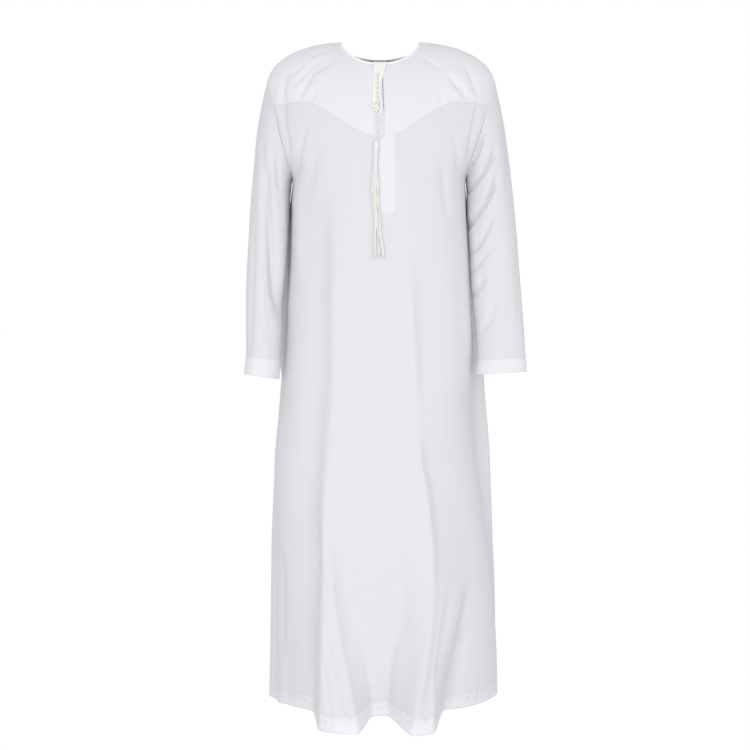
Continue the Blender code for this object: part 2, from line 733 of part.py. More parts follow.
def build_sleeves(collection):
    """Both sleeves and their cuffs."""
    for name, side, table in (("right", -1, RIGHT_SLEEVE), ("left", 1, LEFT_SLEEVE)):
        seam = armhole_ring(side)
        travel = travel_of(seam + seam[:1])
        places = [distance / travel[-1] for distance in travel[:-1]]
        stitch = table[-1].travel - CUFF_DEPTH[name]
        first = sleeve_ring(table[0], side, places)
        rows = []
        for distance in SLEEVE_TRAVELS + (stitch - SEAM_STRIP, stitch):
            near = 1 - soft_step(distance, 0.055, 0.055)
            ring = sleeve_ring(at(table, distance), side, places)
            rows.append([point + (edge - start) * near
                         for point, edge, start in zip(ring, seam, first)])
        rows = pull_in(rows, top=True, bottom=True)
        rows[0] = [point + Vector((side * GAP / 2, 0.0, 0.0)) for point in rows[0]]
        cuff = [sleeve_ring(at(table, distance), side, places)
                for distance in (stitch, stitch + SEAM_STRIP, table[-1].travel)]
        cuff = pull_in(cuff, top=True)
        if side > 0:
            rows, cuff = turned(rows), turned(cuff)
        add_cloth(collection, "sleeve_" + name, [rows], SINGLE_CLOTH, single_cloth(), True)
        add_cloth(collection, "cuff_" + name, [cuff], DOUBLE_CLOTH, double_cloth(), True)


def front_y(x, z):
    """Y of the robe's front at a place."""
    if z >= ARMPIT_Z:
        return sheet_y(x, z, True)
    depth = at(DEPTHS, z)
    share = abs(x) / half_width(z, x)
    out = (1 - share ** depth.power) ** (1 / depth.power)
    return -depth.front * out + depth.twist * x - proud(FRONT_FOLDS, z, x)


def sheet_normal(point, front):
    """The way out of the cloth at a point above the armpits."""
    step = 0.0005
    if abs(point.y) < 0.004:
        return Vector((0.0, 0.0, 1.0))
    in_x = (sheet_y(point.x + step, point.z, front)
            - sheet_y(point.x - step, point.z, front)) / (2 * step)
    in_z = (sheet_y(point.x, point.z + step, front)
            - sheet_y(point.x, point.z - step, front)) / (2 * step)
    normal = Vector((-in_x, 1.0, -in_z)).normalized()
    return -normal if front else normal


def neck_line():
    """The neckline's points with the way out of the cloth, round from one side of the opening."""
    line = []
    for side, front in ((-1, True), (-1, False), (1, False), (1, True)):
        row = (yoke_half(side)[0] if front else top_row(side, 0.0, False))[SHOULDER_STEPS:]
        row = [(point, sheet_normal(point, front)) for point in row]
        if (side < 0) == front:
            row.reverse()
        line += row if not line else row[1:]
    return line


def build_binding(collection):
    """The neck binding: a narrow roll along the edge of the cloth, open at the front."""
    line = neck_line()
    points = []
    for i, (point, normal) in enumerate(line):
        before, after = line[max(i - 1, 0)][0], line[min(i + 1, len(line) - 1)][0]
        down = (after - before).cross(normal).normalized()
        if down.dot(Vector((point.x, point.y, 0.0))) < 0:
            down.negate()
        turn = (point - before).angle(after - point, 0.0)
        points.append(point - normal * DOUBLE_CLOTH / 2
                      - down * BINDING_OFF / math.cos(turn / 2))
    add_round(collection, "neck_binding", points, BINDING_RADIUS, double_cloth())


def build_facing(collection):
    """The strip behind the neck opening."""
    rows = []
    for i in range(FACING_ROWS + 1):
        row = []
        for j in range(4):
            x = FACING_SPAN[0] + (FACING_SPAN[1] - FACING_SPAN[0]) * j / 3
            top = neck_z(x, True) - 2 * GAP
            z = top + (FACING_END_Z - top) * i / FACING_ROWS
            row.append(Vector((x, front_y(x, z) + FACING_BACK, z)))
        rows.append(row)
    add_cloth(collection, "opening_facing", [rows], SINGLE_CLOTH, double_cloth())


def build_tab(collection):
    """The long ivory tab beside the slit, over the ends of the binding."""
    rows = []
    for i in range(TAB_ROWS + 1):
        share = i / TAB_ROWS
        edges = at(TAB, share)
        lift = TAB_CLEAR + (TAB_LIFT - TAB_CLEAR) * (1 - soft_step(share, 0.16, 0.10))
        row = []
        for j in range(4):
            x = edges.right + (edges.left - edges.right) * j / 3
            top = neck_z(x, True) + TAB_OVER
            z = top + (TAB_END_Z - top) * share
            point = Vector((x, front_y(x, z), z))
            row.append(point + sheet_normal(point, True) * lift)
        rows.append(row)
    add_cloth(collection, "placket_tab", [rows], SINGLE_CLOTH, ivory(), outward=True)


def add_round(collection, name, points, radius, finish):
    """A round cord through points."""
    curve = bpy.data.curves.new(name, "CURVE")
    curve.dimensions = "3D"
    curve.bevel_depth = radius
    curve.bevel_resolution = 2
    curve.use_fill_caps = True
    spline = curve.splines.new("POLY")
    spline.points.add(len(points) - 1)
    for place, point in zip(spline.points, points):
        place.co = (*point, 1.0)
    curve.materials.append(finish)
    collection.objects.link(bpy.data.objects.new(name, curve))


def build_cord(collection):
    """The thin twisted cord from the tab down to the knot."""
    start, end = CORD_SPAN_Z
    points = []
    for i in range(CORD_STEPS + 1):
        z = start + (end - start) * i / CORD_STEPS
        points.append(Vector((CORD_X, front_y(CORD_X, z) - CORD_RADIUS - CORD_LIFT, z)))
    add_round(collection, "tassel_cord", points, CORD_RADIUS, ivory())


def build_knot(collection):
    """The knot that the tassel hangs from."""
    mesh = bpy.data.meshes.new("tassel_knot")
    bm = bmesh.new()
    bmesh.ops.create_uvsphere(bm, u_segments=12, v_segments=8, radius=1.0)
    bmesh.ops.scale(bm, verts=bm.verts, vec=Vector(KNOT_HALF))
    bm.to_mesh(mesh)
    bm.free()
    knot = add_piece(collection, "tassel_knot", mesh, ivory())
    x, z = KNOT_CENTRE
    knot.location = (x, front_y(x, z) - KNOT_HALF[1] - TRIM_CLEAR, z)


def add_hanging(collection, name, table):
    """A soft bar that hangs in front of the robe, an oval at each row of its table."""
    mesh = bpy.data.meshes.new(name)
    bm = bmesh.new()
    rings = []
    for row in table:
        y = front_y(row.x, row.z) - row.half_depth - TRIM_CLEAR
        rings.append([bm.verts.new((row.x + row.half_width * math.cos(angle),
                                    y + row.half_depth * math.sin(angle), row.z))
                      for angle in (2 * math.pi * i / TRIM_SIDES for i in range(TRIM_SIDES))])
    for upper, lower in zip(rings, rings[1:]):
        for i in range(TRIM_SIDES):
            j = (i + 1) % TRIM_SIDES
            bm.faces.new((upper[i], lower[i], lower[j], upper[j]))
    bm.faces.new(rings[0])
    bm.faces.new(list(reversed(rings[-1])))
    bmesh.ops.recalc_face_normals(bm, faces=bm.faces)
    bm.to_mesh(mesh)
    bm.free()
    add_piece(collection, name, mesh, ivory())


def main():
    """Build every piece of the robe."""
    for thing in list(bpy.data.objects):
        bpy.data.objects.remove(thing, do_unlink=True)
    robe = bpy.data.collections.new("kandura")
    bpy.context.scene.collection.children.link(robe)
    build_yokes(robe)
    build_front(robe)
    build_back(robe)
    build_hem(robe)
    build_sleeves(robe)
    build_binding(robe)
    build_facing(robe)
    build_tab(robe)
    build_cord(robe)
    build_knot(robe)
    add_hanging(robe, "tassel_braid", BRAID)
    add_hanging(robe, "tassel_threads", TASSEL)


main()
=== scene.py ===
"""Looks of a kandura: a long white robe with a V yoke, cuffed sleeves and an ivory neck tassel.

Metres, +Z up, the front faces -Y, the wearer's left is at +X. The robe hangs filled out, as worn.
Each piece of cloth is a thin shell on one form, worked out from the tables below, with its creases
pressed in along listed lines. Trim, stitches and threads are meshes of their own.
"""

from __future__ import annotations

import logging
import math
from dataclasses import dataclass, field
from enum import Enum
from typing import NamedTuple, Sequence

import bpy
import numpy as np
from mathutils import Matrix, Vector

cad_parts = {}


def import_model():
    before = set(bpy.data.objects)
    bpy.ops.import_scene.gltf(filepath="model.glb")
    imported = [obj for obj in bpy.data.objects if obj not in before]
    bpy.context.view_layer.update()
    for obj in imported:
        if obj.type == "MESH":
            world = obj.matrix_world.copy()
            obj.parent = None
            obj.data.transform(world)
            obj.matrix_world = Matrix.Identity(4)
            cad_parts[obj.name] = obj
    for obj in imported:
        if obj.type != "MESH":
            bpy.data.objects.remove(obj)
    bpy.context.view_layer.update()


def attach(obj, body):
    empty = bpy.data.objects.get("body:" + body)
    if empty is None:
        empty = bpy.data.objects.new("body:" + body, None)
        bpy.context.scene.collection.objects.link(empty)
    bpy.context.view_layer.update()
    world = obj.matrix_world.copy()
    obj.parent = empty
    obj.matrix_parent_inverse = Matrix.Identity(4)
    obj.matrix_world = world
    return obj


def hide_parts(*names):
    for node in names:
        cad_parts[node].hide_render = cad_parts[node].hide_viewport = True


Array = np.ndarray
Material = bpy.types.Material
Node = bpy.types.Node
Piece = bpy.types.Object
Socket = bpy.types.NodeSocket
Tree = bpy.types.NodeTree

LOG = logging.getLogger("kandura")
FINE = 420                  # points on a half ring before it is spread evenly
TAU = 2 * math.pi
TENTHS = 10000              # tenths of a millimetre in a metre
CREST_WIDTH = 0.35          # width of an edge's crest, as a share of the crease's
FAR = 0.099                 # a distance at which no seam or row of stitches shows
SEAM_STRIP = (0.0, 0.0007, 0.0015, 0.0026, 0.0042)  # from a seam to the close rows beside it
SINGLE_WALL = 0.0004        # one layer of cloth, as built
DOUBLE_WALL = 0.0009        # two layers of cloth, as built
STITCH_SIDES = 5            # faces round a stitch or a thread


# ---- tables of the form --------------------------------------------------------------------
class Width(NamedTuple):
    """How far the sides are from the middle plane at a height."""

    z: float
    right: float
    left: float


class Depth(NamedTuple):
    """How deep the ring is at a height, how it is turned and how square it is."""

    z: float
    front: float
    back: float
    twist: float
    power: float


class Fold(NamedTuple):
    """A large fold at a height: where its two soft edges are and how far it stands out."""

    z: float
    start: float
    start_soft: float
    end: float
    end_soft: float
    rise: float


class SleeveRing(NamedTuple):
    """A ring of a sleeve: its two ends in X and Z, its middle in Y and half its depth."""

    travel: float
    outer_x: float
    outer_z: float
    inner_x: float
    inner_z: float
    middle: float
    half: float


class TrimRow(NamedTuple):
    """The reach of the hanging trim at a height."""

    z: float
    x: float
    half_width: float
    half_depth: float


class TabRow(NamedTuple):
    """Where the edges of the ivory tab are at a share of its length."""

    share: float
    right: float
    left: float


def rows_of(kind: type, *values: float) -> tuple:
    """The rows of a table.

    Args:
        kind: the kind of row.
        values: the rows' numbers, one row after another.

    Returns:
        The rows.
    """
    step = len(kind._fields)
    return tuple(kind(*values[i:i + step]) for i in range(0, len(values), step))


WIDTHS = rows_of(
    Width,
    -0.12, 0.245, 0.249,
    -0.145, 0.246, 0.248,
    -0.18, 0.241, 0.242,
    -0.209, 0.234, 0.232,
    -0.258, 0.208, 0.204,
    -0.2925, 0.188, 0.184,
    -0.34, 0.1885, 0.183,
    -0.45, 0.195, 0.1875,
    -0.55, 0.2005, 0.192,
    -0.65, 0.206, 0.199,
    -0.8, 0.218, 0.198,
    -0.9, 0.226, 0.207,
    -1.0, 0.225, 0.221,
    -1.15, 0.221, 0.242,
    -1.3, 0.219, 0.2525,
    -1.4, 0.219, 0.2555,
)
DEPTHS = rows_of(
    Depth,
    -0.29, 0.135, 0.125, 0.0, 2.4,
    -0.33, 0.1353, 0.1246, 0.0, 2.4,
    -0.45, 0.1395, 0.12, 0.0, 2.4,
    -0.65, 0.148, 0.136, 0.02, 2.35,
    -0.85, 0.154, 0.152, 0.04, 2.2,
    -1.05, 0.158, 0.168, 0.08, 2.1,
    -1.25, 0.16, 0.182, 0.11, 2.03,
    -1.4, 0.16, 0.19, 0.13, 2.0,
)
FRONT_FOLDS = (
    rows_of(
        Fold,
        -0.75, -0.125, 0.03, -0.1, 0.03, 0.0,
        -0.9, -0.128, 0.028, -0.1, 0.03, 0.007,
        -1.05, -0.132, 0.025, -0.098, 0.025, 0.019,
        -1.15, -0.134, 0.022, -0.088, 0.022, 0.033,
        -1.25, -0.133, 0.018, -0.07, 0.03, 0.05,
        -1.34, -0.131, 0.013, -0.046, 0.024, 0.069,
        -1.4, -0.129, 0.01, -0.031, 0.015, 0.082,
    ),
    rows_of(
        Fold,
        -0.7, 0.055, 0.05, 0.105, 0.05, 0.0,
        -0.85, 0.062, 0.05, 0.115, 0.05, 0.007,
        -1.0, 0.07, 0.05, 0.135, 0.045, 0.018,
        -1.1, 0.075, 0.05, 0.15, 0.04, 0.031,
        -1.2, 0.07, 0.045, 0.16, 0.04, 0.051,
        -1.3, 0.053, 0.038, 0.137, 0.026, 0.077,
        -1.4, 0.039, 0.027, 0.118, 0.016, 0.102,
    ),
    rows_of(
        Fold,
        -1.0, -0.2, 0.014, -0.15, 0.04, 0.0,
        -1.2, -0.202, 0.015, -0.14, 0.045, -0.006,
        -1.4, -0.204, 0.015, -0.125, 0.045, -0.016,
    ),
    rows_of(
        Fold,
        -1.0, 0.17, 0.03, 0.21, 0.014, 0.0,
        -1.2, 0.165, 0.03, 0.226, 0.018, 0.002,
        -1.4, 0.155, 0.03, 0.216, 0.024, 0.005,
    ),
)
BACK_FOLDS = (
    rows_of(
        Fold,
        -0.75, -0.15, 0.045, -0.09, 0.045, 0.0,
        -1.0, -0.155, 0.04, -0.085, 0.04, 0.022,
        -1.2, -0.16, 0.035, -0.075, 0.035, 0.042,
        -1.4, -0.165, 0.03, -0.062, 0.032, 0.06,
    ),
    rows_of(
        Fold,
        -0.9, -0.01, 0.03, 0.03, 0.03, 0.0,
        -1.1, -0.015, 0.03, 0.035, 0.03, 0.016,
        -1.25, -0.022, 0.028, 0.04, 0.028, 0.032,
        -1.4, -0.028, 0.026, 0.045, 0.026, 0.045,
    ),
    rows_of(
        Fold,
        -0.7, 0.08, 0.045, 0.15, 0.045, 0.0,
        -0.95, 0.085, 0.042, 0.16, 0.042, 0.022,
        -1.2, 0.09, 0.036, 0.17, 0.038, 0.045,
        -1.4, 0.095, 0.032, 0.18, 0.034, 0.062,
    ),
)
RIGHT_FOLDS = (
    rows_of(
        Fold,
        -0.293, 0.048, 0.02, 0.12, 0.03, 0.0,
        -0.36, 0.044, 0.02, 0.125, 0.03, 0.026,
        -0.5, 0.042, 0.02, 0.13, 0.03, 0.028,
        -0.62, 0.038, 0.02, 0.13, 0.03, 0.027,
        -0.69, 0.038, 0.021, 0.13, 0.03, 0.021,
        -0.76, 0.04, 0.022, 0.13, 0.03, 0.0,
    ),
    rows_of(
        Fold,
        -0.8, 0.035, 0.022, 0.13, 0.03, 0.0,
        -0.95, 0.03, 0.022, 0.13, 0.03, 0.012,
        -1.1, 0.02, 0.022, 0.13, 0.03, 0.018,
        -1.4, 0.005, 0.022, 0.13, 0.03, 0.021,
    ),
)
LEFT_FOLDS = (
    rows_of(
        Fold,
        -0.293, 0.048, 0.02, 0.12, 0.03, 0.0,
        -0.36, 0.044, 0.02, 0.12, 0.03, 0.025,
        -0.5, 0.042, 0.02, 0.115, 0.03, 0.026,
        -0.64, 0.032, 0.02, 0.105, 0.03, 0.029,
        -0.74, 0.022, 0.02, 0.095, 0.03, 0.036,
        -0.85, 0.02, 0.018, 0.1, 0.03, 0.041,
        -1.0, 0.025, 0.02, 0.11, 0.03, 0.031,
        -1.12, 0.03, 0.022, 0.115, 0.03, 0.021,
        -1.4, 0.04, 0.025, 0.12, 0.03, 0.01,
    ),
)
RIGHT_SLEEVE = rows_of(
    SleeveRing,
    0.0, 0.241, -0.08, 0.188, -0.2925, 0.0, 0.068,
    0.06, 0.2545, -0.14, 0.19, -0.302, 0.0, 0.07,
    0.12, 0.2645, -0.2, 0.1915, -0.32, -0.001, 0.07,
    0.19, 0.2718, -0.27, 0.193, -0.35, -0.002, 0.069,
    0.27, 0.2778, -0.35, 0.1955, -0.4, -0.006, 0.067,
    0.36, 0.2818, -0.44, 0.199, -0.465, -0.014, 0.063,
    0.45, 0.2845, -0.53, 0.2035, -0.54, -0.028, 0.058,
    0.54, 0.283, -0.61, 0.2065, -0.618, -0.046, 0.053,
    0.593, 0.281, -0.6735, 0.2095, -0.6835, -0.062, 0.0505,
    0.632, 0.284, -0.7115, 0.211, -0.7225, -0.072, 0.05,
)
LEFT_SLEEVE = rows_of(
    SleeveRing,
    0.0, 0.244, -0.08, 0.184, -0.2925, 0.0, 0.068,
    0.06, 0.258, -0.14, 0.185, -0.302, 0.0, 0.07,
    0.12, 0.27, -0.2, 0.1855, -0.32, -0.001, 0.069,
    0.19, 0.279, -0.27, 0.186, -0.35, -0.002, 0.066,
    0.27, 0.2868, -0.35, 0.1875, -0.4, -0.006, 0.062,
    0.36, 0.294, -0.44, 0.1905, -0.465, -0.014, 0.056,
    0.45, 0.2993, -0.53, 0.1935, -0.54, -0.028, 0.048,
    0.54, 0.3028, -0.61, 0.202, -0.618, -0.046, 0.041,
    0.597, 0.305, -0.678, 0.2045, -0.683, -0.062, 0.0365,
    0.632, 0.306, -0.707, 0.201, -0.713, -0.07, 0.035,
)
TAB_EDGES = rows_of(
    TabRow,
    0.0, -0.0142, 0.0122,
    0.15, -0.0142, 0.011,
    0.34, -0.0146, 0.006,
    0.6, -0.0152, 0.0008,
    1.0, -0.0154, -0.001,
)
BRAID_REACH = rows_of(
    TrimRow,
    -0.1752, -0.0074, 0.0046, 0.003,
    -0.185, -0.0046, 0.007, 0.0034,
    -0.196, -0.0024, 0.009, 0.0036,
    -0.213, -0.0022, 0.0093, 0.0037,
    -0.229, -0.0026, 0.0086, 0.0035,
    -0.2372, -0.0062, 0.0052, 0.003,
)


class SmoothTable:
    """A short table, read between its rows along a smooth curve."""

    def __init__(self, rows: Sequence[tuple[float, ...]]) -> None:
        """Sort the rows by their first column and find the slope at each."""
        values = np.array(rows, float)
        if values[0, 0] > values[-1, 0]:
            values = values[::-1]
        self.keys = values[:, 0]
        self.values = values[:, 1:]
        self.slopes = np.empty_like(self.values)
        gaps = np.diff(self.keys)[:, None]
        steps = np.diff(self.values, axis=0) / gaps
        self.slopes[0], self.slopes[-1] = steps[0], steps[-1]
        self.slopes[1:-1] = ((self.values[2:] - self.values[:-2])
                             / (self.keys[2:] - self.keys[:-2])[:, None])

    def at(self, place: float | Array) -> Array:
        """Read the table.

        Args:
            place: values of the first column.

        Returns:
            The other columns there, one row of the result for each column.
        """
        place = np.clip(np.asarray(place, float), self.keys[0], self.keys[-1])
        low = np.clip(np.searchsorted(self.keys, place, side="right") - 1, 0, len(self.keys) - 2)
        span = self.keys[low + 1] - self.keys[low]
        t = ((place - self.keys[low]) / span)[..., None]
        span = span[..., None]
        found = (self.values[low] * (1 + 2 * t) * (1 - t) ** 2
                 + self.slopes[low] * span * t * (1 - t) ** 2
                 + self.values[low + 1] * (3 - 2 * t) * t ** 2
                 + self.slopes[low + 1] * span * (t - 1) * t ** 2)
        return np.moveaxis(found, -1, 0)


def soft_step(place: Array | float, middle: float | Array, soft: float | Array) -> Array:
    """0 before a soft edge and 1 after it."""
    t = np.clip((place - middle + soft) / (2 * soft), 0.0, 1.0)
    return t * t * (3 - 2 * t)


def travel_of(line: Array) -> Array:
    """The distance along a line to each of its points."""
    return np.concatenate([[0.0], np.cumsum(np.linalg.norm(np.diff(line, axis=0), axis=1))])


def read_along(travel: Array, values: Array, places: Array) -> Array:
    """Values of three columns at distances along a line.

    Args:
        travel: the distance to each row of the values.
        values: the rows.
        places: the distances to read at.

    Returns:
        A row for each place.
    """
    return np.stack([np.interp(places, travel, values[:, k]) for k in range(3)], axis=1)


def points_at(line: Array, places: Array) -> Array:
    """Points at distances along a fine line."""
    return read_along(travel_of(line), line, places)


def unit(vectors: Array) -> Array:
    """Vectors of length 1."""
    return vectors / np.maximum(np.linalg.norm(vectors, axis=-1, keepdims=True), 1e-12)


def joined(grid: Array) -> Array:
    """A grid with its first column again at the end, so that it closes."""
    return np.concatenate([grid, grid[:, :1]], axis=1)


def corners(grid: Array, axis: int = -1) -> Array:
    """The values at the four corners of each cell of a grid, along a new axis."""
    return np.stack([grid[:-1, :-1], grid[1:, :-1], grid[1:, 1:], grid[:-1, 1:]], axis=axis)


def even_places(length: float, count: int, start: bool = True, end: bool = True) -> Array:
    """Distances along an edge: even steps, with a few narrow ones beside a seam.

    Args:
        length: the edge's length.
        count: the number of even steps.
        start: whether there is a seam at the start.
        end: whether there is a seam at the end.

    Returns:
        The distances, from 0 to the length.
    """
    strip = np.array(SEAM_STRIP)
    low = strip[-1] if start else 0.0
    high = length - (strip[-1] if end else 0.0)
    places = [np.linspace(low, high, count + 1)]
    if start:
        places.insert(0, strip[:-1])
    if end:
        places.append(length - strip[-2::-1])
    return np.concatenate(places)


# ---- the form ------------------------------------------------------------------------------
@dataclass(frozen=True)
class RobeForm:
    """The shape that the robe hangs in."""

    hem_z: float = -1.4
    hem_band: float = 0.029
    armpit_z: float = -0.2925
    armhole_top_z: float = -0.08
    armhole_bite: float = 0.105
    neck_half_width: float = 0.0855
    neck_front_drop: float = 0.069
    neck_back_drop: float = 0.025
    shoulder_x: float = 0.088
    shoulder_drop: float = 0.12
    shoulder_slope: float = 1.6
    shoulder_round: float = 2.8
    chest_z: float = -0.29
    front_depth: float = 0.135
    blade_z: float = -0.25
    back_depth: float = 0.125
    ring_power: float = 2.4
    yoke_wing_z: float = -0.149
    yoke_tip_drop: float = 0.079
    yoke_half_width: float = 0.168
    slit_top_x: float = 0.0047
    slit_lean: float = -0.0378
    slit_half: float = 0.0007
    slit_gape: float = 0.001
    slit_top_z: float = -0.1
    gape_z: float = -0.134
    gape_reach: float = 0.02
    slit_closing: float = 0.016
    armhole_curve: float = 1.2
    shoulder_share: float = 0.46
    chest_span: float = 0.144
    slit_end_z: float = -0.19
    fold_sag: float = 0.135
    shoulder_ease: float = 2.2
    neck_ease: float = 1.6
    neck_turn: float = 0.035
    widths: SmoothTable = field(default_factory=lambda: SmoothTable(WIDTHS))
    depths: SmoothTable = field(default_factory=lambda: SmoothTable(DEPTHS))

    def half_width(self, z: Array | float, side: Array | float) -> Array:
        """Half the ring's width at a height, on the side whose sign is given."""
        right, left = self.widths.at(z)
        table = np.where(np.asarray(side) > 0, left, right)
        end = np.where(np.asarray(side) > 0, WIDTHS[0].left, WIDTHS[0].right)
        level = np.clip(1 + np.asarray(z) / self.shoulder_drop, 0.0, 1.0)
        share = (1 - level ** self.shoulder_round) ** (1 / self.shoulder_slope)
        shoulder = self.shoulder_x + (end - self.shoulder_x) * share
        return np.where(np.asarray(z) > WIDTHS[0].z, shoulder, table)

    def shoulder_z(self, x: Array) -> Array:
        """Height of the top of the shoulder."""
        end = np.where(x > 0, WIDTHS[0].left, WIDTHS[0].right)
        share = np.clip((np.abs(x) - self.shoulder_x) / (end - self.shoulder_x), 0.0, 1.0)
        return -self.shoulder_drop * (
            1 - (1 - share ** self.shoulder_slope) ** (1 / self.shoulder_round))

    def sheet_y(self, x: Array, z: Array, front: bool) -> Array:
        """Y of the front or the back above the armpits."""
        full_z, full = ((self.chest_z, self.front_depth) if front
                        else (self.blade_z, self.back_depth))
        level = np.clip(1 - z / full_z, 0.0, 1.0)
        front_depth, back_depth = self.depths.at(np.minimum(z, self.chest_z))[:2]
        depth = np.where(z > full_z, full * np.sqrt(1 - level ** 2),
                         front_depth if front else back_depth)
        share = np.minimum(np.abs(x) / self.half_width(z, x), 1.0)
        depth = depth * (1 - share ** self.ring_power) ** (1 / self.ring_power)
        return -depth if front else depth

    def front_y(self, x: Array, z: Array) -> Array:
        """Y of the front at any height above the great folds of the hem."""
        depth, _, twist, power = self.depths.at(np.minimum(z, self.chest_z))
        share = np.minimum(np.abs(x) / self.half_width(z, x), 1.0)
        lower = -depth * (1 - share ** power) ** (1 / power) + twist * x
        return np.where(z >= self.armpit_z, self.sheet_y(x, z, True), lower)

    def armhole_x(self, z: Array | float, side: int) -> Array:
        """Where the armhole seam is at a height."""
        t = np.clip((z - self.armhole_top_z) / (self.armpit_z - self.armhole_top_z), 0.0, 1.0)
        bite = self.armhole_bite * (4 * t * (1 - t)) ** self.armhole_curve
        return side * self.half_width(z, side) * (1 - bite)

    def neck_z(self, x: Array, front: bool) -> Array:
        """Height of the neckline."""
        drop = self.neck_front_drop if front else self.neck_back_drop
        share = np.minimum(np.abs(x) / self.neck_half_width, 1.0)
        return -drop * np.sqrt(1 - share ** 2)

    def yoke_z(self, x: Array) -> Array:
        """Height of the V seam."""
        share = np.minimum(np.abs(x) / self.yoke_half_width, 1.0)
        return self.yoke_wing_z - self.yoke_tip_drop * np.cos(share * math.pi / 2) ** 2

    def proud(self, folds: tuple, z: float, place: Array) -> Array:
        """How far the folds of one side stand out of the ring."""
        total = np.zeros_like(place)
        for fold in folds:
            if z < fold[0].z:
                start, start_soft, end, end_soft, rise = SmoothTable(fold).at(z)
                total += rise * (soft_step(place, start, start_soft)
                                 - soft_step(place, end, end_soft))
        return total

    def slit_edge(self, z: Array | float, side: int) -> Array:
        """X of one edge of the neck slit, or of the halves' join below it."""
        lean = self.slit_lean * (np.maximum(z, self.slit_end_z) - self.slit_top_z)
        middle = self.slit_top_x + lean
        gape = self.slit_gape * np.exp(-((z - self.gape_z) / self.gape_reach) ** 2)
        opened = soft_step(z, self.slit_end_z + 0.012, self.slit_closing)
        return middle + side * (0.00003 + (self.slit_half + gape) * opened)

    def middle_x(self, front: bool) -> float:
        """X where the two sides of a row meet."""
        return float(self.slit_edge(self.slit_end_z, 0)) if front else 0.0

    def top_row(self, side: int, front: bool, count: int) -> Array:
        """The upper edge of a half, from the armhole along the shoulder and the neckline."""
        edge_x = self.armhole_x(self.armhole_top_z, side)
        neck_x = side * self.neck_half_width
        x = np.linspace(edge_x, neck_x, FINE)
        shoulder = np.stack([x, np.zeros_like(x), self.shoulder_z(x)], axis=1)
        end = float(self.slit_edge(-self.neck_front_drop, side)) if front else 0.0
        x = neck_x * np.sin(np.linspace(math.pi / 2, math.asin(end / neck_x), FINE))
        z = self.neck_z(x, front)
        neck = np.stack([x, self.sheet_y(x, z, front), z], axis=1)
        along = round(count * self.shoulder_share)
        seam = points_at(shoulder, even_places(travel_of(shoulder)[-1], along, True, False))
        curve = points_at(neck, even_places(travel_of(neck)[-1], count - along, False, True))
        return np.concatenate([seam, curve[1:]])

    def yoke_row(self, share: float, side: int, front: bool, count: int) -> Array:
        """A row between the upper edge and the yoke's height."""
        top = self.top_row(side, front, count)
        low = self.chest_row(0.0, side, front, count)
        turning = soft_step(self.neck_z(top[:, 0], front), -self.neck_turn, self.neck_turn)
        blend = share ** (self.neck_ease + (self.shoulder_ease - self.neck_ease) * turning)
        row = top + (low - top) * blend[:, None]
        along = np.linspace(0, 1, len(row))
        row[:, 0] += (self.armhole_x(row[0, 2], side) - row[0, 0]) * (1 - along) ** 2
        if front:
            row[:, 0] += (self.slit_edge(row[-1, 2], side) - row[-1, 0]) * along ** 12
        row[:, 1] = self.sheet_y(row[:, 0], row[:, 2], front)
        return row

    def chest_row(self, share: float, side: int, front: bool, count: int) -> Array:
        """A row between the yoke's height and the armpit."""
        edge_z = self.yoke_wing_z + (self.armpit_z - self.yoke_wing_z) * share
        t = 1 - np.cos(np.linspace(0, math.pi / 2, FINE))
        edge_x = self.armhole_x(edge_z, side)
        x = edge_x + (self.middle_x(front) - edge_x) * t
        low = self.yoke_z(x) if front else np.full_like(x, self.yoke_wing_z)
        z = low + (self.armpit_z - low) * share
        z[0] = edge_z
        line = np.stack([x, self.sheet_y(x, z, front), z], axis=1)
        return points_at(line, even_places(travel_of(line)[-1], count))

    def skirt_row(self, z: float, side: int, front: bool, count: int) -> Array:
        """A row below the armpits, from the side seam to the middle."""
        angle = np.linspace(0, math.pi, 2 * FINE + 1)
        if side > 0:
            angle = math.pi - angle
        depth, back, twist, power = self.depths.at(z)
        way = np.where(angle < math.pi / 2, -1.0, 1.0)
        x = way * self.half_width(z, way) * np.abs(np.cos(angle)) ** (2 / power)
        y = (-depth if front else back) * np.sin(angle) ** (2 / power)
        stand = self.proud(FRONT_FOLDS if front else BACK_FOLDS, z, x)
        out_x = np.where(x > 0, self.proud(LEFT_FOLDS, z, y), -self.proud(RIGHT_FOLDS, z, y))
        line = np.stack([x + out_x, y + twist * x + (-stand if front else stand),
                         z - self.fold_sag * stand], axis=1)
        middle = self.middle_x(front)
        last = int(np.argmax((line[:, 0] - middle) * side < 0))
        t = (middle - line[last - 1, 0]) / (line[last, 0] - line[last - 1, 0])
        end = line[last - 1] + (line[last] - line[last - 1]) * t
        line = np.concatenate([line[:last], end[None]])
        return points_at(line, even_places(travel_of(line)[-1], count))

    def half_rows(self, part: BodyPart, side: int, front: bool, count: int) -> Array:
        """The rows of one half of a part of the body.

        Args:
            part: which stretch of the body.
            side: -1 for the wearer's right, 1 for the left.
            front: whether it is the front.
            count: the number of even steps along a row.

        Returns:
            Rows by columns by 3, from the side to the middle.
        """
        if part is BodyPart.YOKE:
            shares = even_places(1.0, 56, False, False)
            shares = np.sort(np.concatenate([shares, [0.006, 0.99, 0.996]]))
            return np.stack([self.yoke_row(s, side, front, count) for s in shares])
        if part is BodyPart.CHEST:
            shares = even_places(self.chest_span, 34, front, False) / self.chest_span
            return np.stack([self.chest_row(s, side, front, count) for s in shares])
        if part is BodyPart.SKIRT:
            high, low = self.armpit_z, self.hem_z + self.hem_band
            levels = np.concatenate([np.linspace(high, low + 0.004, 158),
                                     [low + step for step in SEAM_STRIP[3::-1]]])
        else:
            levels = self.hem_z + self.hem_band - even_places(self.hem_band, 8, True, False)
        return np.stack([self.skirt_row(z, side, front, count) for z in levels])


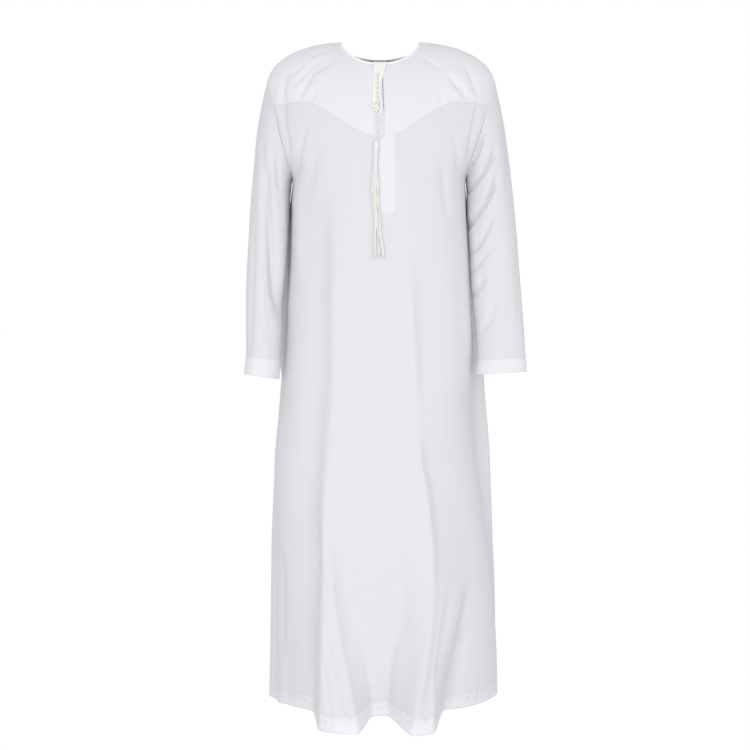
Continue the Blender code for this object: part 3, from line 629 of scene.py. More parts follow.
class BodyPart(Enum):
    """The stretches of the body, from the shoulders to the hem."""

    YOKE = "yoke"
    CHEST = "chest"
    SKIRT = "skirt"
    HEM = "hem"


# ---- creases -------------------------------------------------------------------------------
class Press(Enum):
    """How a crease is pressed into the cloth."""

    SOFT = "soft"           # an even trough or ridge
    EDGE = "edge"           # a crest with a steep far side that slowly recovers


@dataclass(frozen=True)
class Crease:
    """A crease along a line, whose lengths are all in tenths of a millimetre."""

    line: tuple[int, ...]           # X and Z of its points, by turns
    width: int
    height: int                     # out of the cloth, or into it below 0
    press: Press = Press.SOFT
    lean: float = 0.0               # how much wider it is on one side, as a share
    fade: float = 0.3               # the share of the line over which each end fades
    reach: int = 450                # how far off an edge's far side has recovered
    crest: float = 0.16             # how far an edge's crest stands up, as a share of its height

    def offset(self, x: Array, z: Array) -> Array:
        """How far the cloth stands out at each place.

        Args:
            x: X of the places.
            z: Z of the places.

        Returns:
            The offset along the cloth's own way out.
        """
        line = np.array(self.line).reshape(-1, 2) / TENTHS
        height, reach, base = (v / TENTHS for v in (self.height, self.reach, self.width))
        travel = travel_of(line)
        near = np.full(x.shape, 1e9)
        signed = np.zeros(x.shape)
        along = np.zeros(x.shape)
        for start, end, before in zip(line, line[1:], travel):
            way = end - start
            length = float(np.linalg.norm(way))
            way = way / length
            dx, dz = x - start[0], z - start[1]
            t = np.clip(dx * way[0] + dz * way[1], 0.0, length)
            px, pz = dx - t * way[0], dz - t * way[1]
            away = np.hypot(px, pz)
            closer = away < near
            near = np.where(closer, away, near)
            cross = dx * way[1] - dz * way[0]
            signed = np.where(closer, np.sign(cross) * away, signed)
            along = np.where(closer, before + t, along)
        share = along / travel[-1]
        fade = (soft_step(share, self.fade / 2, self.fade / 2)
                * (1 - soft_step(share, 1 - self.fade / 2, self.fade / 2)))
        if self.press is Press.SOFT:
            width = base * (1 + self.lean * np.sign(signed))
            return height * np.exp(-(signed / width) ** 2) * fade
        far = np.maximum(signed, 0.0)
        drop = (1 - np.exp(-(far / base) ** 2)) * np.exp(-(far / reach) ** 2)
        crest = self.crest * np.exp(-(signed / (CREST_WIDTH * base)) ** 2)
        return height * (crest - drop) * fade


def pressed(creases: Sequence[Crease], x: Array, z: Array) -> Array:
    """The sum of the creases at each place."""
    total = np.zeros(x.shape)
    for crease in creases:
        total += crease.offset(x, z)
    return total


FRONT_CREASES = (
    # the middle stands proud of the sides, with a soft fall on either side of it
    Crease((-1000, -2900, -880, -3450, -880, -3930, -918, -5600, -923, -7240, -993, -8500, -1073,
            -9500, -1140, -10250, -1180, -11200, -1205, -12400), 260, 200, Press.EDGE, fade=0.22,
            reach=900, crest=0.0),
    Crease((-1280, -9800, -1350, -10800, -1380, -12300, -1380, -14100), 140, -80, lean=0.3,
            fade=0.2),
    Crease((735, -8500, 724, -7650, 625, -5620, 615, -4200), 150, 105, Press.EDGE, fade=0.4,
            reach=850, crest=0.04),
    # the crests of the two great folds at the hem
    Crease((600, -14250, 790, -13300, 960, -12400, 1035, -11500, 1040, -10580, 960, -9750, 800,
            -8800, 730, -8000), 150, 120, Press.EDGE, fade=0.16, reach=550),
    Crease((-1015, -10400, -930, -11640, -800, -12400, -600, -13250, -400, -14250), 90, 85,
            Press.EDGE, fade=0.2, reach=320),
    Crease((-1050, -12000, -930, -12900, -780, -13600, -700, -14200), 50, -34, lean=0.3),
    Crease((-1180, -12600, -1060, -13300, -960, -14000), 45, -26, lean=-0.3),
    Crease((1860, -11300, 1760, -12000, 1600, -12750, 1450, -13400, 1340, -14200), 100, -110,
            lean=-0.3, fade=0.35),
    Crease((1500, -11200, 1400, -12000, 1220, -13000, 1080, -13700), 80, -45),
    Crease((-2140, -10600, -2060, -11600, -2040, -13200), 70, -60, fade=0.3),
    Crease((-560, -12000, -400, -13000, -180, -14300), 160, 60, fade=0.3),
    Crease((460, -12200, 340, -13100, 260, -14300), 130, 60, fade=0.3),
    # long faint falls of the middle
    Crease((120, -6200, 40, -8600, 100, -11000), 220, -22, fade=0.5),
    Crease((-450, -5000, -520, -7500, -500, -10000), 200, -18, fade=0.5),
    Crease((460, -10200, 400, -12000, 220, -13600), 160, -30, fade=0.4),
    # beside the armholes and over the chest
    Crease((-1490, -1900, -1660, -2550, -1760, -3200), 65, -34, lean=0.3),
    Crease((-1280, -2350, -1400, -2900, -1520, -3450), 100, -36),
    Crease((1280, -2600, 1310, -3150, 1390, -4000), 80, -30),
    Crease((1500, -2050, 1600, -2550, 1660, -3100), 70, -26),
    # drag lines that fan from the shoulders over the yoke
    Crease((-1060, -400, -1480, -780, -1880, -1200), 60, -44),
    Crease((-880, -450, -1420, -890, -1780, -1560), 65, -51),
    Crease((-1900, -660, -2020, -1100, -2040, -1580), 60, -48),
    Crease((-1330, -1220, -1460, -1560), 50, -31),
    Crease((-1080, -290, -1500, -460), 50, -27),
    Crease((-1600, -600, -1850, -920), 55, -27),
    Crease((1340, -840, 1560, -1040, 1760, -1220), 60, -44),
    Crease((1760, -580, 1940, -960, 2030, -1360), 60, -48),
    Crease((1460, -1000, 1680, -1240, 1860, -1460), 55, -41),
    Crease((800, -450, 1080, -640, 1320, -850), 60, -31),
    Crease((1120, -1150, 1280, -1500, 1360, -1850), 80, -27),
    # the body folds in beside the armholes
    Crease((-1985, -1180, -1995, -1430, -1975, -1910, -1905, -2270, -1860, -2750), 50, -50,
            lean=0.25, fade=0.3),
    Crease((-2290, -1120, -2180, -1650, -2040, -2150), 55, 18, fade=0.5),
    Crease((2080, -1180, 2010, -1600, 1900, -2150, 1790, -2750), 50, -40, lean=-0.25, fade=0.35),
    # the front stays full out to the sleeves
    Crease((-1720, -3000, -1740, -4000, -1780, -5400), 110, 45, fade=0.35),
    Crease((1720, -3600, 1760, -4600, 1840, -6000, 1910, -7200, 1950, -8200), 100, 50, fade=0.5),
    # small pulls beside the slit and under the V
    Crease((160, -850, 400, -1200, 620, -1700), 90, -9, fade=0.5),
    Crease((-220, -950, -450, -1500), 80, -8, fade=0.5),
)
BACK_CREASES = (
    Crease((1050, -3000, 1120, -5000, 1000, -7400, 1100, -9500, 1280, -12000, 1340, -14100), 200,
            -105, lean=0.2, fade=0.26),
    Crease((-880, -3400, -800, -5800, -900, -8200, -740, -10600, -600, -14100), 220, -100,
            lean=-0.2, fade=0.28),
    Crease((200, -4400, 120, -7000, 260, -9600, 500, -11600), 220, -50, fade=0.45),
    Crease((-1650, -7000, -1800, -9500, -1900, -12500), 180, -60, fade=0.4),
    Crease((1760, -6000, 1840, -8600, 2000, -12000), 160, -55, fade=0.4),
    Crease((-360, -10200, -300, -12000, -400, -14100), 100, -40, fade=0.3),
    Crease((720, -10600, 760, -12400, 700, -14100), 100, -40, fade=0.3),
    Crease((-1800, -3100, -1500, -2350, -1120, -1600), 85, -38),
    Crease((-1720, -3500, -1320, -2850, -850, -2250), 90, -32),
    Crease((1820, -3000, 1480, -2250, 1160, -1400), 80, -36),
    Crease((1760, -3450, 1400, -2900, 1000, -2450), 85, -28),
    Crease((-960, -300, -1500, -700, -1960, -1300), 70, -24),
    Crease((980, -340, 1460, -780, 1900, -1460), 70, -24),
    Crease((-600, -480, -400, -900, 40, -1120, 460, -880, 620, -500), 75, -14),
    Crease((-1800, -2720, -1840, -3450, -1900, -4200), 140, 58, fade=0.4),
    Crease((1780, -2720, 1810, -3450, 1860, -4200), 140, 43, fade=0.4),
    Crease((2120, -1250, 2020, -1800, 1880, -2500), 52, -34, fade=0.35),
    Crease((-2130, -1200, -2030, -1750, -1900, -2550), 52, -34, fade=0.35),
)
RIGHT_SLEEVE_CREASES = (
    Crease((-2400, -2500, -2320, -3600, -2210, -4700, -2060, -6200), 110, -150, lean=0.35,
            fade=0.25),
    Crease((-2160, -2400, -2110, -3350), 60, -40),
    Crease((-2060, -2750, -2040, -3400, -2040, -4200, -2070, -5600), 80, 42, fade=0.4),
    Crease((-2460, -1950, -2490, -3450), 75, -34),
    Crease((-2620, -2000, -2660, -3400, -2620, -4500), 80, -24),
    Crease((-2650, -4000, -2680, -5600, -2680, -6720), 50, -62, lean=0.2, fade=0.2),
    Crease((-2400, -5000, -2320, -5800, -2220, -6550), 90, -26),
    Crease((-2500, -6000, -2360, -6350, -2140, -6450), 70, -20),
)
LEFT_SLEEVE_CREASES = (
    Crease((1830, -3000, 1920, -2740, 2034, -2520, 2114, -2280, 2180, -2000), 48, -85, lean=-0.3,
            fade=0.3),
    Crease((1780, -3340, 1954, -3180, 2168, -2920, 2380, -2570, 2470, -2320), 50, -105, lean=-0.35,
            fade=0.25),
    Crease((1830, -4140, 2009, -3840, 2168, -3610, 2380, -3260, 2490, -2920), 52, -125, lean=-0.35,
            fade=0.22),
    Crease((1860, -3920, 2040, -3620, 2230, -3350), 36, -38, fade=0.4),
    Crease((1970, -2950, 1940, -3500, 1980, -4400, 2050, -5800), 75, 32, fade=0.4),
    Crease((1880, -4700, 2140, -4300, 2460, -3660), 60, -60, lean=-0.3),
    Crease((1920, -5050, 2140, -4700, 2400, -4400), 55, -34),
    Crease((1860, -5600, 2060, -5300, 2220, -5000), 70, -36),
    Crease((2020, -6400, 2280, -5980, 2500, -5200), 80, -40),
    Crease((2620, -1600, 2700, -2600, 2720, -3800), 85, -22),
    Crease((2860, -4200, 2900, -5200, 2880, -6400), 80, -20),
    Crease((2400, -6600, 2620, -6200, 2760, -5500), 70, -18),
)
SLEEVE_BACK_CREASES = (
    Crease((1880, -3500, 2140, -3000, 2360, -2400), 70, -46),
    Crease((1880, -4300, 2200, -3720, 2460, -3000), 75, -44),
    Crease((1980, -5400, 2280, -4900, 2620, -4500), 90, -46),
    Crease((2620, -5000, 2320, -5200, 2040, -5800), 80, -36),
    Crease((2700, -2400, 2760, -3800, 2800, -4700), 80, -22),
    Crease((2140, -6650, 2360, -6300, 2660, -6000), 75, -26),
)


# ---- finishes ------------------------------------------------------------------------------
def linear(colour: str) -> tuple[float, float, float, float]:
    """An sRGB hex colour as linear red, green, blue and 1."""
    parts = [int(colour[i:i + 2], 16) / 255 for i in (1, 3, 5)]
    parts = [p / 12.92 if p <= 0.04045 else ((p + 0.055) / 1.055) ** 2.4 for p in parts]
    return (*parts, 1.0)


def add_node(tree: Tree, kind: str, settings: dict | None = None,
             links: dict | None = None) -> Node:
    """Add a node with its settings and links.

    Args:
        tree: the material's node tree.
        kind: the node's type name.
        settings: socket names or numbers, or the node's own properties, and their values.
        links: socket names or numbers and the sockets that feed them.

    Returns:
        The new node.
    """
    node = tree.nodes.new(kind)
    for name, value in (settings or {}).items():
        if isinstance(name, int) or name in node.inputs:
            node.inputs[name].default_value = value
        else:
            setattr(node, name, value)
    for name, source in (links or {}).items():
        tree.links.new(source, node.inputs[name])
    return node


def maths(tree: Tree, operation: str, *terms: float | Socket) -> Socket:
    """The result of a maths node.

    Args:
        tree: the material's node tree.
        operation: what the node works out.
        terms: its inputs, each a number or a socket.

    Returns:
        The socket that holds the result.
    """
    numbers = {i: term for i, term in enumerate(terms) if isinstance(term, float)}
    sockets = {i: term for i, term in enumerate(terms) if i not in numbers}
    return add_node(tree, "ShaderNodeMath", {"operation": operation, **numbers},
                    sockets).outputs[0]


def remap(tree: Tree, value: Socket, limits: tuple[float, float],
          ends: tuple[float, float], kind: str = "LINEAR") -> Socket:
    """A value between two limits, turned into one between two ends.

    Args:
        tree: the material's node tree.
        value: the value.
        limits: the limits that it is read between.
        ends: what it becomes at each limit.
        kind: how it goes from one end to the other.

    Returns:
        The socket that holds the result.
    """
    return add_node(tree, "ShaderNodeMapRange",
                    {"interpolation_type": kind, "From Min": limits[0], "From Max": limits[1],
                     "To Min": ends[0], "To Max": ends[1]}, {0: value}).outputs[0]


def split(tree: Tree, source: Node, name: str | int = 0) -> Node:
    """The parts in X, Y and Z of a node's output."""
    return add_node(tree, "ShaderNodeSeparateXYZ", links={0: source.outputs[name]})


def stretched_noise(tree: Tree, cloth: Node, scale: tuple[float, float], settings: dict) -> Socket:
    """Noise with a scale of its own along and across the cloth.

    Args:
        tree: the material's node tree.
        cloth: coordinates along and across the cloth, in millimetres.
        scale: its scale across and down, for each millimetre.
        settings: the noise's other settings.

    Returns:
        The socket that holds it.
    """
    scaled = add_node(tree, "ShaderNodeMapping", {"Scale": (*scale, 1.0)}, {0: cloth.outputs[0]})
    return add_node(tree, "ShaderNodeTexNoise", {"Scale": 1.0, **settings},
                    {"Vector": scaled.outputs[0]}).outputs[0]


def new_material(name: str) -> tuple[Material, Tree]:
    """An empty material and its node tree."""
    material = bpy.data.materials.new(name)
    material.use_nodes = True
    material.node_tree.nodes.clear()
    return material, material.node_tree


ALLOWANCE_MM = (10.5, 13.0)             # where a seam's turned-in cloth ends
ALLOWANCE_SHOWS = (0.2, 0.0)            # how much it whitens the cloth over it
WHITER_MIDDLE_SPAN = (0.04, 0.15)               # where the hem goes from its whiter middle to its greyer sides, from the middle
FACING_SHOWS = (("X", -0.0002, 0.0282), ("Z", -0.384, 1.0))  # where the strip lies behind
FACING_SOFT = 0.0006                    # softness of that strip's edges
SLUB_GREY = (0.955, 1.035)              # shade of thin and of thick thread
SLUB_LONG = 0.14                        # a slub's scale along its thread, against across it
GATHER_LONG = 0.22                      # a gather's scale down the cloth, against across it


@dataclass(frozen=True)
class WovenCloth:
    """White polyester and cotton in a fine plain weave, bleached and pressed.

    It is matt, with a faint sheen at a grazing angle. One layer lets a little of what is behind it
    through and looks greyer; two layers sewn together look whiter.
    """

    name: str
    colour: str
    backed: str                     # where a seam allowance or a facing lies behind it, and the hem's whiter middle
    roughness: float = 0.82
    sheen: float = 0.12
    thread_mm: float = 1.1          # real threads are 0.3 mm apart, too fine to show
    weave_depth_mm: float = 0.035
    slub_mm: float = 5.0            # thicker stretches of thread, along and across
    slub_depth_mm: float = 0.1
    pucker_mm: float = 7.0          # small gathers beside a row of stitches
    pucker_depth_mm: float = 0.0
    pucker_reach_mm: float = 9.0
    facing_shows: bool = False      # the strip behind the slit shows through
    whiter_middle: bool = False       # whiter near the middle, greyer towards the sides

    def build(self) -> Material:
        """Make the material."""
        material, tree = new_material(self.name)
        cloth = add_node(tree, "ShaderNodeUVMap", {"uv_map": "cloth_mm"})
        seam = split(tree, add_node(tree, "ShaderNodeUVMap", {"uv_map": "seam_mm"}))
        backed = remap(tree, seam.outputs["X"], ALLOWANCE_MM, ALLOWANCE_SHOWS)
        if self.facing_shows:
            backed = self._facing(tree, backed)
        # the hem: whiter near the middle, greyer towards the sides
        if self.whiter_middle:
            place = split(tree, add_node(tree, "ShaderNodeNewGeometry"), "Position")
            backed = remap(tree, maths(tree, "ABSOLUTE", place.outputs["X"]), WHITER_MIDDLE_SPAN,
                           (1.0, 0.0), "SMOOTHSTEP")
        slubs = self._slubs(tree, cloth)
        colour = add_node(tree, "ShaderNodeMix",
                          {"data_type": "RGBA", 6: linear(self.colour), 7: linear(self.backed)},
                          {0: backed})
        grey = remap(tree, slubs, (0.0, 1.0), SLUB_GREY)
        shade = add_node(tree, "ShaderNodeVectorMath", {"operation": "SCALE"},
                         {0: colour.outputs[2], "Scale": grey})
        shader = add_node(tree, "ShaderNodeBsdfPrincipled",
                          {"Roughness": self.roughness, "IOR": 1.5, "Specular IOR Level": 0.25,
                           "Sheen Weight": self.sheen, "Sheen Roughness": 0.6},
                          {"Base Color": shade.outputs[0],
                           "Normal": self._relief(tree, cloth, seam, slubs)})
        add_node(tree, "ShaderNodeOutputMaterial", links={0: shader.outputs[0]})
        return material

    def _facing(self, tree: Tree, backed: Socket) -> Socket:
        """Whiten the cloth over the strip behind the slit.

        Args:
            tree: the material's node tree.
            backed: how much is behind the cloth already.

        Returns:
            How much is behind it with the strip.
        """
        place = split(tree, add_node(tree, "ShaderNodeNewGeometry"), "Position")
        inside = None
        for axis, low, high in FACING_SHOWS:
            for edge, soft in ((low, FACING_SOFT), (high, -FACING_SOFT)):
                part = remap(tree, place.outputs[axis], (edge - soft, edge + soft), (0.0, 1.0))
                inside = part if inside is None else maths(tree, "MULTIPLY", inside, part)
        front = maths(tree, "LESS_THAN", place.outputs["Y"], 0.0)
        return maths(tree, "MAXIMUM", backed, maths(tree, "MULTIPLY", inside, front))

    def _slubs(self, tree: Tree, cloth: Node) -> Socket:
        """Uneven threads: long faint streaks along the warp and the weft."""
        short, long = 1 / self.slub_mm, SLUB_LONG / self.slub_mm
        warp, weft = (stretched_noise(tree, cloth, scale, {"Detail": 4.0, "Roughness": 0.62})
                      for scale in ((short, long), (long, short)))
        return add_node(tree, "ShaderNodeMix", {0: 0.5}, {2: warp, 3: weft}).outputs[0]

    def _relief(self, tree: Tree, cloth: Node, seam: Node, slubs: Socket) -> Socket:
        """The weave, its slubs and the gathers beside the stitches, as one bumped normal.

        Args:
            tree: the material's node tree.
            cloth: coordinates along and across the cloth, in millimetres.
            seam: distances from the seam and from the row of stitches, in millimetres.
            slubs: the uneven threads.

        Returns:
            The normal for the shader.
        """
        threads = add_node(tree, "ShaderNodeVectorMath",
                           {"operation": "SCALE", "Scale": math.pi / self.thread_mm},
                           {0: cloth.outputs[0]})
        place = split(tree, threads)
        over, under = (maths(tree, "SINE", place.outputs[axis]) for axis in "XY")
        relief = maths(tree, "MULTIPLY", maths(tree, "MULTIPLY", over, under),
                       self.weave_depth_mm / 1000)
        relief = maths(tree, "MULTIPLY_ADD", slubs, self.slub_depth_mm / 1000, relief)
        if self.pucker_depth_mm:
            near = remap(tree, seam.outputs["Y"], (0.0, self.pucker_reach_mm), (1.0, 0.0),
                         "SMOOTHSTEP")
            gathers = stretched_noise(tree, cloth, (1 / self.pucker_mm,
                                                    GATHER_LONG / self.pucker_mm),
                                      {"Detail": 1.5, "Distortion": 0.3})
            relief = maths(tree, "MULTIPLY_ADD", maths(tree, "MULTIPLY", gathers, near),
                           self.pucker_depth_mm / 1000, relief)
        return add_node(tree, "ShaderNodeBump", {"Strength": 1.0, "Distance": 1.0},
                        {"Height": relief}).outputs[0]


@dataclass(frozen=True)
class ViscoseThread:
    """Ivory viscose thread, spun and twisted: smoother than the cloth, with a soft sheen."""

    name: str
    colour: str
    hollow_shade: str                       # painted shade: the darker colour laid in the hollows between the threads
    roughness: float = 0.45
    ply_mm: float = 1.2             # spacing of the fine diagonal ply lines
    glow: float = 0.0               # painted light: emission that stands in for the light that loose threads pass on to each other

    def build(self) -> Material:
        """Make the material."""
        material, tree = new_material(self.name)
        cloth = add_node(tree, "ShaderNodeUVMap", {"uv_map": "cloth_mm"})
        scaled = add_node(tree, "ShaderNodeMapping",
                          {"Rotation": (0.0, 0.0, math.radians(32)),
                           "Scale": (1 / self.ply_mm, 1 / self.ply_mm, 1.0)},
                          {0: cloth.outputs[0]})
        ply = add_node(tree, "ShaderNodeTexWave",
                       {"Scale": 1.0, "Distortion": 1.2, "Detail": 1.0},
                       {"Vector": scaled.outputs[0]})
        # painted shade: the ply pattern darkens the thread towards its hollow colour between the
        # plies
        colour = add_node(tree, "ShaderNodeMix",
                          {"data_type": "RGBA", 6: linear(self.hollow_shade), 7: linear(self.colour)},
                          {0: ply.outputs["Fac"]})
        bump = add_node(tree, "ShaderNodeBump", {"Strength": 0.35, "Distance": 0.0003},
                        {"Height": ply.outputs["Fac"]})
        shader = add_node(tree, "ShaderNodeBsdfPrincipled",
                          {"Roughness": self.roughness, "IOR": 1.5, "Sheen Weight": 0.25,
                           "Sheen Roughness": 0.35, "Specular IOR Level": 0.45,
                           "Emission Color": linear(self.colour),
                           "Emission Strength": self.glow},
                          {"Base Color": colour.outputs[2], "Normal": bump.outputs[0]})
        add_node(tree, "ShaderNodeOutputMaterial", links={0: shader.outputs[0]})
        return material


# ---- meshes of cloth -----------------------------------------------------------------------
@dataclass
class ClothGrid:
    """A sheet of cloth as a grid of points, with its two sets of coordinates.

    "across" and "down" are distances along the cloth in metres. "seam" is the distance from the
    nearest sewn edge and "stitch" that from the nearest row of stitches.
    """

    points: Array
    across: Array
    down: Array
    seam: Array
    stitch: Array
    closed: bool = False

    def normals(self) -> Array:
        """The way out of the cloth at each point."""
        if self.closed:
            padded = np.concatenate([self.points[:, -1:], self.points, self.points[:, :1]], axis=1)
            along = (padded[:, 2:] - padded[:, :-2])
        else:
            along = np.gradient(self.points, axis=1)
        fall = np.gradient(self.points, axis=0)
        return unit(np.cross(fall, along))

    def moved(self, offset: Array) -> ClothGrid:
        """The same sheet with each point moved out of the cloth by an offset."""
        self.points = self.points + self.normals() * offset[..., None]
        return self

    def area(self) -> float:
        """The area of the sheet."""
        points = joined(self.points) if self.closed else self.points
        one = points[1:, 1:] - points[:-1, :-1]
        two = points[1:, :-1] - points[:-1, 1:]
        return float(np.linalg.norm(np.cross(one, two), axis=2).sum() / 2)

    def build(self, name: str, thickness: float, material: Material,
              outward: float = 0.0) -> Piece:
        """Make the sheet's shell.

        Args:
            name: the piece's name.
            thickness: the thickness of the cloth.
            material: its finish.
            outward: how far the outer face stands out of the grid.

        Returns:
            The new object.
        """
        rows, columns = self.points.shape[:2]
        index = np.arange(rows * columns).reshape(rows, columns)
        quads = corners(joined(index) if self.closed else index).reshape(-1, 4)
        maps = [corners(np.stack(pair, axis=-1), -2).reshape(-1, 4, 2) * 1000
                for pair in ((self.across, self.down), (self.seam, self.stitch))]
        normals = self.normals().reshape(-1, 3)
        outer = self.points.reshape(-1, 3) + normals * outward
        inner = outer - normals * thickness
        return shell_object(name, outer, inner, quads, maps, material)


def nothing_near(shape: Array) -> tuple[Array, Array]:
    """The distances to seams and stitches for a sheet that has none."""
    return np.full_like(shape, FAR), np.full_like(shape, FAR)


def shell_object(name: str, outer: Array, inner: Array, quads: Array,
                 maps: Sequence[Array], material: Material) -> Piece:
    """Make an object from two faces of cloth and the rim between them.

    Args:
        name: the object's name.
        outer: points of the outer face.
        inner: points of the inner face, in the same order.
        quads: the outer face's quads.
        maps: the two coordinate sets, for each corner of each quad.
        material: the finish.

    Returns:
        The new object.
    """
    count = len(outer)
    starts, ends = quads.ravel(), np.roll(quads, -1, axis=1).ravel()
    alone = ~np.isin(starts * count + ends, ends * count + starts)
    a, b = starts[alone], ends[alone]
    rim = np.stack([b, a, a + count, b + count], axis=1)
    faces = np.concatenate([quads, quads[:, ::-1] + count, rim])
    found = []
    for m in maps:
        first = m.reshape(-1, 2)[alone]
        second = np.roll(m, -1, axis=1).reshape(-1, 2)[alone]
        edge = np.stack([second, first, first, second], axis=1)
        found.append(np.concatenate([m, m[:, ::-1], edge]))
    return mesh_object(name, np.concatenate([outer, inner]), faces, found, material)


def mesh_object(name: str, points: Array, faces: Array, maps: Sequence[Array],
                material: Material) -> Piece:
    """Make a smooth mesh object of quads with its coordinates and finish.

    Args:
        name: the object's name.
        points: its points.
        faces: four indices for each face.
        maps: the two coordinate sets, for each corner of each face.
        material: the finish.

    Returns:
        The new object.
    """
    used, inverse = np.unique(faces, return_inverse=True)
    faces = inverse.reshape(faces.shape)
    points = points[used]
    mesh = bpy.data.meshes.new(name)
    mesh.vertices.add(len(points))
    mesh.vertices.foreach_set("co", points.astype(np.float32).ravel())
    mesh.loops.add(faces.size)
    mesh.loops.foreach_set("vertex_index", faces.astype(np.int32).ravel())
    mesh.polygons.add(len(faces))
    mesh.polygons.foreach_set("loop_start", np.arange(0, faces.size, 4, dtype=np.int32))
    mesh.polygons.foreach_set("use_smooth", np.ones(len(faces), dtype=bool))
    for layer_name, values in zip(("cloth_mm", "seam_mm"), maps):
        layer = mesh.uv_layers.new(name=layer_name)
        layer.uv.foreach_set("vector", values.astype(np.float32).ravel())
    mesh.update(calc_edges=True)
    mesh.validate()
    mesh.materials.append(material)
    piece = bpy.data.objects.new(name, mesh)
    bpy.context.scene.collection.objects.link(piece)
    return piece


def tube_mesh(paths: Sequence[Array], radii: Sequence[Array], sides: int
              ) -> tuple[Array, Array, Array]:
    """Round tubes along paths, closed at their ends, as one mesh.

    Args:
        paths: each tube's points.
        radii: each tube's radius at each point.
        sides: the number of faces round a tube.

    Returns:
        Points, quads and coordinates in metres for each corner.
    """
    points, faces, maps = [], [], []
    base = 0
    angle = np.linspace(0, TAU, sides, endpoint=False)
    for path, radius in zip(paths, radii):
        way = unit(np.gradient(path, axis=0))
        side = np.cross(way, np.array([0.05, 0.02, 1.0]))
        weak = np.linalg.norm(side, axis=1) < 0.15
        side[weak] = np.cross(way[weak], np.array([0.0, 1.0, 0.1]))
        for i in range(1, len(side)):
            side[i] = side[i - 1] - way[i] * float(side[i - 1] @ way[i])
        side = unit(side)
        up = np.cross(way, side)
        ring = (path[:, None] + radius[:, None, None]
                * (side[:, None] * np.cos(angle)[None, :, None]
                   + up[:, None] * np.sin(angle)[None, :, None]))
        ends = [path[0] + np.zeros((1, sides, 3)), path[-1] + np.zeros((1, sides, 3))]
        ring = np.concatenate([ends[0], ring, ends[1]])
        index = base + np.arange(ring.shape[0] * sides).reshape(ring.shape[0], sides)
        quads = corners(joined(index))
        down = np.concatenate([[0.0], travel_of(path), travel_of(path)[-1:]])
        across = np.linspace(0, TAU * float(radius.mean()), sides + 1)
        uv = corners(np.stack(np.meshgrid(across, down), axis=-1), -2)
        points.append(ring.reshape(-1, 3))
        faces.append(quads.reshape(-1, 4))
        maps.append(uv.reshape(-1, 4, 2))
        base += ring.shape[0] * sides
    return np.concatenate(points), np.concatenate(faces), np.concatenate(maps)


def tube_object(name: str, paths: Sequence[Array], radii: Sequence[Array], sides: int,
                material: Material) -> Piece:
    """Make one object of round tubes.

    Args:
        name: the object's name.
        paths: each tube's points.
        radii: each tube's radius at each point.
        sides: the number of faces round a tube.
        material: the finish.

    Returns:
        The new object.
    """
    points, faces, uv = tube_mesh(paths, radii, sides)
    return mesh_object(name, points, faces, [uv * 1000, np.full_like(uv, 99.0)], material)


# ---- stitches ------------------------------------------------------------------------------
@dataclass
class StitchRow:
    """A row of machine stitches along a line on the cloth."""

    line: Array
    normals: Array
    pitch: float = 0.0028
    length: float = 0.002
    radius: float = 0.00016

    def paths(self) -> tuple[list[Array], list[Array]]:
        """The threads that show.

        Returns:
            A path and its radii for each stitch, arched a little out of the cloth.
        """
        travel = travel_of(self.line)
        paths, radii = [], []
        for start in np.arange(self.pitch, travel[-1] - self.pitch, self.pitch):
            places = start + np.linspace(0, self.length, 4)
            spot = points_at(self.line, places)
            way = read_along(travel, self.normals, places)
            lift = self.radius * np.array([-0.6, 0.7, 0.7, -0.6])
            paths.append(spot + way * lift[:, None])
            radii.append(self.radius * np.array([0.7, 1.0, 1.0, 0.7]))
        return paths, radii


# ---- the robe's pieces ---------------------------------------------------------------------
@dataclass
class Wardrobe:
    """The form and the finishes."""

    form: RobeForm
    single: Material
    single_front: Material
    double: Material
    hem: Material
    cuff: Material
    binding: Material
    ivory: Material
    loose: Material
    thread: Material
    braid: Material
    cord: Material

    def place(self, piece: Piece, slot: str, *nodes: str) -> Piece:
        """Ride a piece on the robe, hide the solids that it replaces and log its faces.

        Args:
            piece: the piece.
            slot: not used.
            nodes: the solids that it replaces.

        Returns:
            The same piece.
        """
        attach(piece, "root")
        if nodes:
            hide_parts(*nodes)
        LOG.info("%s: %d faces", piece.name, len(piece.data.polygons))
        return piece

    def cover(self, grid: ClothGrid, name: str, node: str, finish: Material,
              wall: float, slot: str = "double_cloth") -> Piece:
        """Make a piece of cloth and place it.

        Args:
            grid: the sheet.
            name: the piece's name.
            node: the solid that it replaces.
            finish: its material.
            wall: its thickness.
            slot: handed on to place.

        Returns:
            The piece.
        """
        return self.place(grid.build(name, wall, finish), slot, node)

    def wind(self, name: str, paths: Sequence[Array], radii: Sequence[Array],
             sides: int, finish: Material, *nodes: str) -> Piece:
        """Make a piece of ivory trim from round threads and place it.

        Args:
            name: the piece's name.
            paths: each thread's points.
            radii: each thread's radius at each point.
            sides: the number of faces round a thread.
            finish: its material.
            nodes: the solids that it replaces.

        Returns:
            The piece.
        """
        return self.place(tube_object(name, paths, radii, sides, finish), "ivory_thread", *nodes)

    def stitch(self, name: str, line: Array, normals: Array) -> Piece:
        """Sew a row of stitches along a line on double cloth."""
        paths, radii = StitchRow(line, normals).paths()
        return self.place(tube_object(name, paths, radii, STITCH_SIDES, self.thread),
                          "double_cloth")


def side_fade(edge: Array, soft: float = 0.014) -> Array:
    """0 at a sewn edge and 1 away from it, so that creases end at the seam."""
    return soft_step(edge, soft / 2, soft / 2)


def seam_turn(edge: Array, depth: float = 0.00018, reach: float = 0.0016) -> Array:
    """How far the cloth turns in beside a seam."""
    return -depth * np.exp(-(edge / reach) ** 2)


